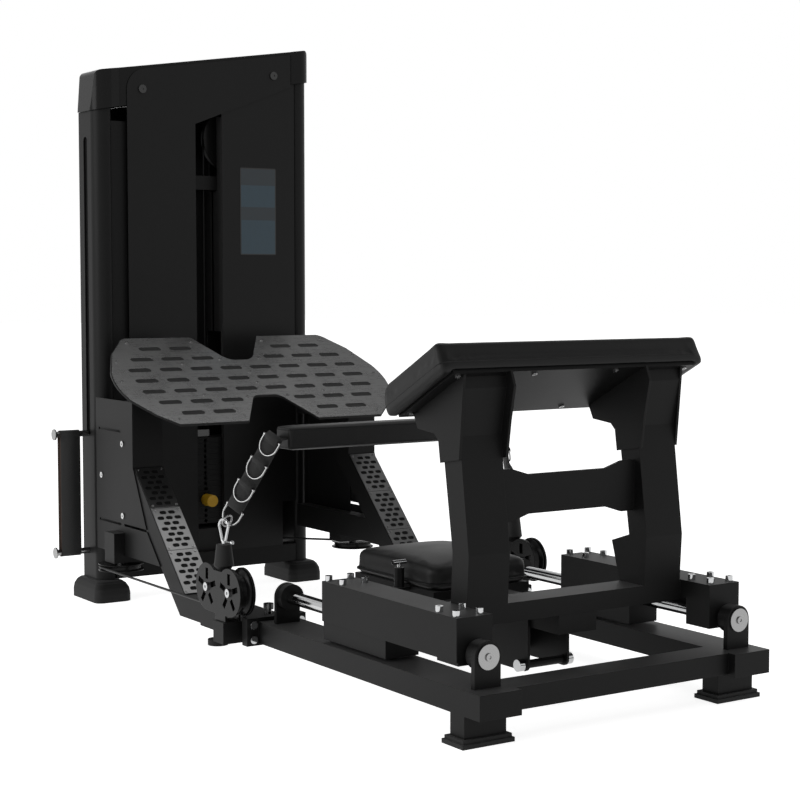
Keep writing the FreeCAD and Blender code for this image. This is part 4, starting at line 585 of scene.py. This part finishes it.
def crowned(thing, half, low, high, crown):
    """Lifts what is over the low level into a crown that falls off to the edges."""
    for point in thing.data.vertices:
        u, v = point.co.x / half[0], point.co.y / half[1]
        share = min(1, max(0, (point.co.z - low) / (high - low)))
        point.co.z += share * crown * max(0, 1 - abs(u) ** 2.6) * max(0, 1 - abs(v) ** 2.6)


# %% [markdown]
# ## Back pad
#
# The thick pad leans on its board at 27 degrees and wraps over the board's edges. It is made flat about the
# origin, with one long edge rounded wide. After it has swollen, its underside is pressed in where the board
# lies, and then the mesh is turned into place, so the object itself stays at the origin. A seam runs round
# it.

# %% Back pad
BACK_TILT = math.radians(-27)
BACK_PLACE = Vector((0, -0.8309, 0.7143))
BACK_SIZE = (0.691, 0.233, 0.0665)
BACK_LOW = 2 * MM
BACK_MIDDLE = 0.119
BACK_HELD_BELOW = -0.027
BACK_REAR_ROUND = 38 * MM
BACK_EDGE_ROUND = 11 * MM
BOARD_THICK = 10.4 * MM
BOARD_HALF = (0.322, 0.112)
BACK_SEAM = 0.022

turn = Matrix.Rotation(BACK_TILT, 4, "X")
seat_of_pad = Matrix.Translation(BACK_PLACE) @ turn
middle = Matrix.Translation((0, BACK_MIDDLE, BACK_LOW + BACK_SIZE[2] / 2))


def back_seams(x, y, z):
    lift = (z - BACK_PLACE.z) * math.cos(BACK_TILT) + (y - BACK_PLACE.y) * -math.sin(BACK_TILT)
    return seam_line(lift, BACK_SEAM)


made = bmesh.new()
bmesh.ops.create_cube(made, size=1, matrix=Matrix.Diagonal((*BACK_SIZE, 1)))
long_edge = [e for e in made.edges if all(v.co.y > 0 and v.co.z > 0 for v in e.verts)]
rolled(made, long_edge, BACK_REAR_ROUND, 8)
rolled(made, [e for e in made.edges if is_sharp(e)], BACK_EDGE_ROUND, 4)
back_pad = piece("back_pad_cover", made, vinyl("back_vinyl", back_seams))
swollen(back_pad, voxel=5 * MM, held=lambda p: p.z < BACK_HELD_BELOW, pressure=3.0, cap=0.0020)
back_pad.data.transform(middle)
for point in back_pad.data.vertices:
    if abs(point.co.x) < BOARD_HALF[0] and abs(point.co.y - BACK_MIDDLE) < BOARD_HALF[1]:
        point.co.z = max(point.co.z, BOARD_THICK)
back_pad.data.transform(seat_of_pad)
upholstered(back_pad, "back_pad", "carriage")

# %% [markdown]
# ## Seat pad
#
# The seat is softer: an upright wall with a sewn bead, and a top that rises to a low crown once the cover
# has swollen.

# %% Seat pad
low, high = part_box("seat_pad")
centre = (Vector(low) + Vector(high)) / 2
SEAT_SIZE = (0.270, 0.332, 0.052)
SEAT_HELD_BELOW = -0.014
SEAT_CROWN = 0.014
SEAT_BEAD = 0.012
BEAD_SIZE = (0.273, 0.335, 0.02)
BEAD_RADIUS = 2.6 * MM
seat_floor = low[2]


def seat_seams(x, y, z):
    return seam_line(z, seat_floor + SEAT_BEAD + 0.005)


seat_pad = piece("seat_pad_cover", block_mesh(SEAT_SIZE, 0.030, 0.013), vinyl("seat_vinyl", seat_seams))
swollen(seat_pad, voxel=5 * MM, held=lambda p: p.z < SEAT_HELD_BELOW, pressure=4.0, cap=0.0025)
crowned(seat_pad, half=(0.137, 0.168), low=0.0, high=0.026, crown=SEAT_CROWN)
seat_pad.data.transform(Matrix.Translation((centre.x, centre.y, seat_floor + SEAT_SIZE[2] / 2 + 0.001)))
upholstered(seat_pad, "seat_pad", "carriage")

# The bead is a closed curve with a round bevel, through the wall's outline in the order of its angles
outline = block_mesh(BEAD_SIZE, 0.031, 0.001)
ring = sorted(
    {(round(p.co.x, 5), round(p.co.y, 5)) for p in outline.verts if abs(p.co.z) < 0.0095},
    key=lambda p: math.atan2(p[1], p[0]),
)
outline.free()
bead_line = bpy.data.curves.new("seat_bead", "CURVE")
bead_line.dimensions = "3D"
bead_line.bevel_depth = BEAD_RADIUS
spline = bead_line.splines.new("POLY")
spline.points.add(len(ring) - 1)
for point, (x, y) in zip(spline.points, ring):
    point.co = (centre.x + x, centre.y + y, seat_floor + SEAT_BEAD, 1)
spline.use_cyclic_u = True
curve = bpy.data.objects.new("seat_bead_line", bead_line)
scene.collection.objects.link(curve)
graph = bpy.context.evaluated_depsgraph_get()
bead_mesh = bpy.data.meshes.new_from_object(curve.evaluated_get(graph))
bpy.data.objects.remove(curve)
seat_bead = bpy.data.objects.new("seat_bead", bead_mesh)
scene.collection.objects.link(seat_bead)
bead_mesh.materials.clear()
bead_mesh.materials.append(vinyl("bead_vinyl", lambda x, y, z: seam_line(z, 0)))
bead_mesh.shade_smooth()
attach(seat_bead, "carriage")
print("seat pad and its bead are in place")

# %% [markdown]
# ## Belt pad
#
# The belt is a firm bar that lies across the hips. Seams run along its edges and round both ends.

# %% Belt pad
low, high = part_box("belt_pad")
centre = (Vector(low) + Vector(high)) / 2
BELT_SIZE = (0.584, 0.065, 0.052)
BELT_SEAM_IN = (0.009, 0.008)
belt_end = high[0]
belt_levels = (low[2], high[2])


def belt_seams(x, y, z):
    """Seams round both ends and along the top and bottom edges of the front."""
    ends = seam_line(x.size(), belt_end - BELT_SEAM_IN[0])
    edges = seam_line(z, belt_levels[1] - BELT_SEAM_IN[1]) + seam_line(z, belt_levels[0] + BELT_SEAM_IN[1])
    return (ends + edges).held()


def belt_held(point):
    """The ends and the four long edges stay where they are."""
    return abs(point.x) > 0.287 or abs(point.y) > 0.0318 and abs(point.z) > 0.0195


belt_pad = piece("belt_pad_cover", block_mesh(BELT_SIZE, 0.006, 0.005), vinyl("belt_vinyl", belt_seams))
swollen(belt_pad, voxel=4 * MM, held=belt_held, pressure=4.0, cap=0.0018)
belt_pad.data.transform(Matrix.Translation(centre))
upholstered(belt_pad, "belt_pad", "belt")

# %% [markdown]
# ## Straps
#
# On each side a webbing strap is sewn to the belt's end, turns down and ends round the last D-ring. Its
# D-rings are held by short tabs over their bars. A strap is a row of faces as wide as the webbing, from
# place to place along its way, with a Solidify modifier for its thickness. It turns about its own way as it
# leaves the pad.

# %% Straps
STRAP_HALF = 0.025
STRAP_THICK = 0.0035
STRAP_TURN = math.radians(24)
BAR_RADIUS = 0.0024
TAB_LIFT = 0.0067
TAB_REACH = 0.013
BEND_STEPS = 8
STRAIGHT_STEPS = 6
FOLD_STEPS = 6
PLAN_MIDDLE_Y = 997.5


def spot(x, y, z):
    """A place of the CAD model's own plan, in millimetres, as a point of the scene."""
    return Vector((x, y - PLAN_MIDDLE_Y, z)) * MM


belt_edge = spot(294.6, 900.5, 526)
first_bar = spot(326, 881, 526)
last_bar = spot(396.5, 940, 364.9)
way = (last_bar - first_bar).normalized()
forward = (Vector((0, -1, 0)) + way * way.y).normalized()
across = Quaternion(way, STRAP_TURN) @ forward
outward = across.cross(way)


def ribbon(name, stations, half, thick, material, side):
    """Webbing through (middle, across) stations, mirrored to a side."""
    made = bmesh.new()
    layer = made.loops.layers.uv.new("UVMap")
    laid = {}
    run = 0.0
    last = None
    for middle, wide in stations:
        spots = [middle - wide * half, middle + wide * half]
        run += (middle - last[0]).length if last else 0
        points = [made.verts.new((p.x * side, p.y, p.z)) for p in spots]
        laid.update({point: (share, run / half / 2) for point, share in zip(points, (0, 1))})
        if last:
            made.faces.new((last[1][0], last[1][1], points[1], points[0]))
        last = (middle, points)
    for face in made.faces:
        for loop in face.loops:
            loop[layer].uv = laid[loop.vert]
    thing = piece(name, made, material)
    solid = thing.modifiers.new("thick", "SOLIDIFY")
    solid.thickness = thick
    solid.offset = 0
    return thing


def strap_way():
    """From the pad's end, out and round a bend, then straight down to the last ring."""
    knee = belt_edge + Vector((0.022, -0.006, 0.004))
    bend = first_bar - way * 0.008 + outward * STRAP_THICK / 2
    stations = []
    for i in range(BEND_STEPS + 1):
        t = i / BEND_STEPS
        middle = (1 - t) ** 2 * belt_edge + 2 * t * (1 - t) * knee + t * t * bend
        stations.append((middle, Vector((0, -1, 0)).lerp(across, t).normalized()))
    end = last_bar - way * 0.006 + outward * STRAP_THICK / 2
    stations += [(bend.lerp(end, t / STRAIGHT_STEPS), across) for t in range(1, STRAIGHT_STEPS + 1)]
    return stations


def tab_way(bar):
    """A tab over a ring's bar, from strap to strap."""
    top = STRAP_THICK + 0.0008
    over = TAB_LIFT + BAR_RADIUS + 0.0016
    profile = [
        (-TAB_REACH, top), (-0.6 * TAB_REACH, top + 0.0004), (-0.25 * TAB_REACH, over),
        (0.25 * TAB_REACH, over), (0.6 * TAB_REACH, top + 0.0004), (TAB_REACH, top),
    ]
    return [(bar + way * s + outward * h, across) for s, h in profile]


def end_way():
    """The strap's end, folded round the last ring's bar."""
    turn = BAR_RADIUS + 0.0018
    stations = [(last_bar - way * 0.026 + outward * (STRAP_THICK + 0.001), across)]
    for i in range(FOLD_STEPS + 1):
        angle = math.radians(90 - 180 / FOLD_STEPS * i)
        middle = last_bar + way * turn * math.cos(angle) + outward * turn * math.sin(angle)
        stations.append((middle, across))
    return stations


strap_pieces = []
for side, name in ((1, "right"), (-1, "left")):
    strap = ribbon(f"strap_{name}", strap_way(), STRAP_HALF, STRAP_THICK, webbing, side)
    strap_pieces.append(strap)
    for i in range(3):
        bar = first_bar.lerp(last_bar, i / 3)
        tab = ribbon(f"tab_{name}_{i}", tab_way(bar), STRAP_HALF * 0.86, 0.0016, webbing, side)
        strap_pieces.append(tab)
    strap_pieces.append(ribbon(f"strap_end_{name}", end_way(), STRAP_HALF * 0.9, 0.0018, webbing, side))
for strap in strap_pieces:
    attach(strap, "belt")
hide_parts("belt_straps")
print(f"{len(strap_pieces)} strap pieces")

# %% [markdown]
# ## Stretch band
#
# An elastic band is stretched between two pegs on the left post. It is dark outside and brown inside. Its
# section is a circle pulled apart into a long loop, which is extruded to the band's width. Solidify gives it
# an inner face with its own material.

# %% Stretch band
BAND_THICK = 2.5 * MM
BAND_WIDE = 0.058
BAND_SEGMENTS = 48
low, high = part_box("stretch_band")
radius = (high[1] - low[1]) / 2 - BAND_THICK / 2
reach = (high[2] - low[2]) / 2 - BAND_THICK / 2 - radius
middle = (Vector(low) + Vector(high)) / 2
made = bmesh.new()
half_step = Matrix.Rotation(math.radians(180 / BAND_SEGMENTS), 4, "Z")
upright = Matrix.Rotation(math.radians(90), 4, "Y") @ half_step
bmesh.ops.create_circle(made, segments=BAND_SEGMENTS, radius=radius, matrix=upright)
for point in made.verts:
    point.co.z += math.copysign(reach, point.co.z)
    point.co.x = low[0] - middle.x
drawn = bmesh.ops.extrude_edge_only(made, edges=list(made.edges))["geom"]
far_points = [g for g in drawn if isinstance(g, bmesh.types.BMVert)]
bmesh.ops.translate(made, vec=(high[0] - low[0], 0, 0), verts=far_points)
layer = made.loops.layers.uv.new("UVMap")
for face in made.faces:
    for loop in face.loops:
        point = loop.vert.co
        loop[layer].uv = (point.x / BAND_WIDE, (point.z + point.y) / BAND_WIDE)
bmesh.ops.translate(made, vec=middle, verts=made.verts)
band = piece("stretch_band_loop", made, band_outside, band_inside)
wall = band.modifiers.new("thick", "SOLIDIFY")
wall.thickness = BAND_THICK
wall.offset = 0
wall.material_offset = 1
wall.material_offset_rim = 1
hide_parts("stretch_band")
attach(band, "frame")

# %% [markdown]
# ## Lanyard
#
# A thin cord hangs from the top plate to the yellow knob. It is a curve of one smooth spline with a round
# bevel, drawn by the points that the CAD model's cord has.

# %% Lanyard
LANYARD_RADIUS = 1.5 * MM
LANYARD_ROUTE = [
    (0, 1862, 430.85), (0, 1856.33, 430.85), (0, 1856.33, 294.55), (0, 1841.6, 286.05), (0, 1841.6, 277.85),
]
line = bpy.data.curves.new("lanyard", "CURVE")
line.dimensions = "3D"
line.bevel_depth = LANYARD_RADIUS
line.bevel_resolution = 3
line.use_fill_caps = True
spline = line.splines.new("NURBS")
spline.points.add(len(LANYARD_ROUTE) - 1)
for point, place in zip(spline.points, LANYARD_ROUTE):
    point.co = (*spot(*place), 1)
spline.order_u = 3
spline.use_endpoint_u = True
spline.resolution_u = 8
line.materials.append(cable_black)
lanyard = bpy.data.objects.new("lanyard", line)
scene.collection.objects.link(lanyard)
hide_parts("pin_lanyard")
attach(lanyard, "pin")
print("the lanyard hangs")

# %% [markdown]
# ## Cables that pay out
#
# When the belt rises, more cable comes out between the bracket's pulleys, and as much goes in over the
# stack. Both free runs are straight. Each is a round tube, cut into short rings.

# %% Cables that pay out
CABLE_RADIUS = 3 * MM
CABLE_RINGS = 12


def free_run(node, fixed_end_up):
    """Both sides' straight cable, as a round tube cut into rings."""
    low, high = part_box(node)
    long = high[2] - low[2]
    for side, name in ((1, "right"), (-1, "left")):
        x, y = side * (high[0] - CABLE_RADIUS), (low[1] + high[1]) / 2
        ends = [Vector((x, y, z)) for z in (low[2], high[2])]
        made = bmesh.new()
        bmesh.ops.create_cone(
            made, cap_ends=True, segments=16, radius1=CABLE_RADIUS, radius2=CABLE_RADIUS, depth=long,
            matrix=Matrix.Translation((ends[0] + ends[1]) / 2),
        )
        rising = [e for e in made.edges if run_along(e, 2) > CABLE_RADIUS]
        bmesh.ops.subdivide_edges(made, edges=rising, cuts=CABLE_RINGS, use_grid_fill=True)
        cable = piece(f"{node}_{name}", made, cable_black)
        if fixed_end_up:
            ends.reverse()
        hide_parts(node)
        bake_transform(cable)


free_run("belt_cables", False)
free_run("stack_cables", True)
print("the free runs of the cables are drawn")

# %% [markdown]
# ## Label plate
#
# A thin blue-grey plate with rounded corners sits on the right panel, beside the window. Its dark border and
# its two dark bands need no geometry: a mask from the place on the plate paints them.

# %% Label plate
LABEL_FROM, LABEL_TO = spot(108, 1843.2, 965), spot(225, 1844, 1215)
LABEL_CORNER = 4 * MM
LABEL_BORDER = 3 * MM
TOP_BAND_FROM = 0.80
LOW_BAND_FROM, LOW_BAND_TO = 0.40, 0.55

middle = (LABEL_FROM + LABEL_TO) / 2
label_size = LABEL_TO - LABEL_FROM
made = bmesh.new()
slab = Matrix.Translation(middle) @ Matrix.Diagonal((*label_size, 1))
bmesh.ops.create_cube(made, size=1, matrix=slab)
rolled(made, [e for e in made.edges if run_along(e, 1) > label_size.y / 2], LABEL_CORNER, 4)

label_paint, net = finish("label_paint")
x, _, z = net.parts(net.place())
within_x = (x - middle.x).size() < (label_size.x / 2 - LABEL_BORDER)
within_z = (z - middle.z).size() < (label_size.z / 2 - LABEL_BORDER)
up = (z - LABEL_FROM.z) / label_size.z
bands = (up > TOP_BAND_FROM) + (up > LOW_BAND_FROM) * (up < LOW_BAND_TO)
haze = net.noise(60, 3)
ground = net.mix(haze, (0.018, 0.038, 0.052, 1), (0.022, 0.046, 0.064, 1))
shade(
    net, Base_Color=net.mix(within_x * within_z * (1 - bands * 0.7), grey(0.008), ground),
    Roughness=haze * 0.1 + 0.35, Specular_IOR_Level=0.4,
)
label = piece("label_plate", made, label_paint)
label.data.shade_flat()
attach(label, "frame")
print("label plate is on")

# %% [markdown]
# ## Which finish goes on which node
#
# A CAD node keeps its shape and only gets a better material. The list says what each one is made of, and
# whatever it doesn't name is powder coated.

# %% Painting the nodes
finishes = {
    chrome: [
        "guide_rods", "stack_guides", "lock_pin", "flange_bolts", "pulley_axles", "carriage_bolts",
        "snap_hooks",
    ],
    zinc: ["rod_end_caps", "step_plate_screws", "foot_screws", "back_screws", "band_pegs", "d_rings"],
    dark_steel: ["rail_bumpers"],
    brushed: ["foot_sheet"],
    step_steel: ["step_plates"],
    rubber_black: ["base_feet", "tower_feet", "stack_base", "stopper_cones"],
    gloss_black: ["pulley_brackets", "top_cap"],
    panel_paint: ["front_plate", "right_panel", "rear_shield"],
    box_paint: ["carriage_frame"],
    plate_paint: ["resting_plates", "lifted_plates"],
    cable_black: ["drive_cables"],
    yellow: ["selector_pin"],
    nylon_black: [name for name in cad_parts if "_pulley_" in name],
    chrome_below: ["cover_screws", "stack_stem"],
}
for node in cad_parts.values():
    node.data.materials.clear()
    node.data.materials.append(powder)
for material, names in finishes.items():
    for name in names:
        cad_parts[name].data.materials[0] = material
print("nodes are painted")
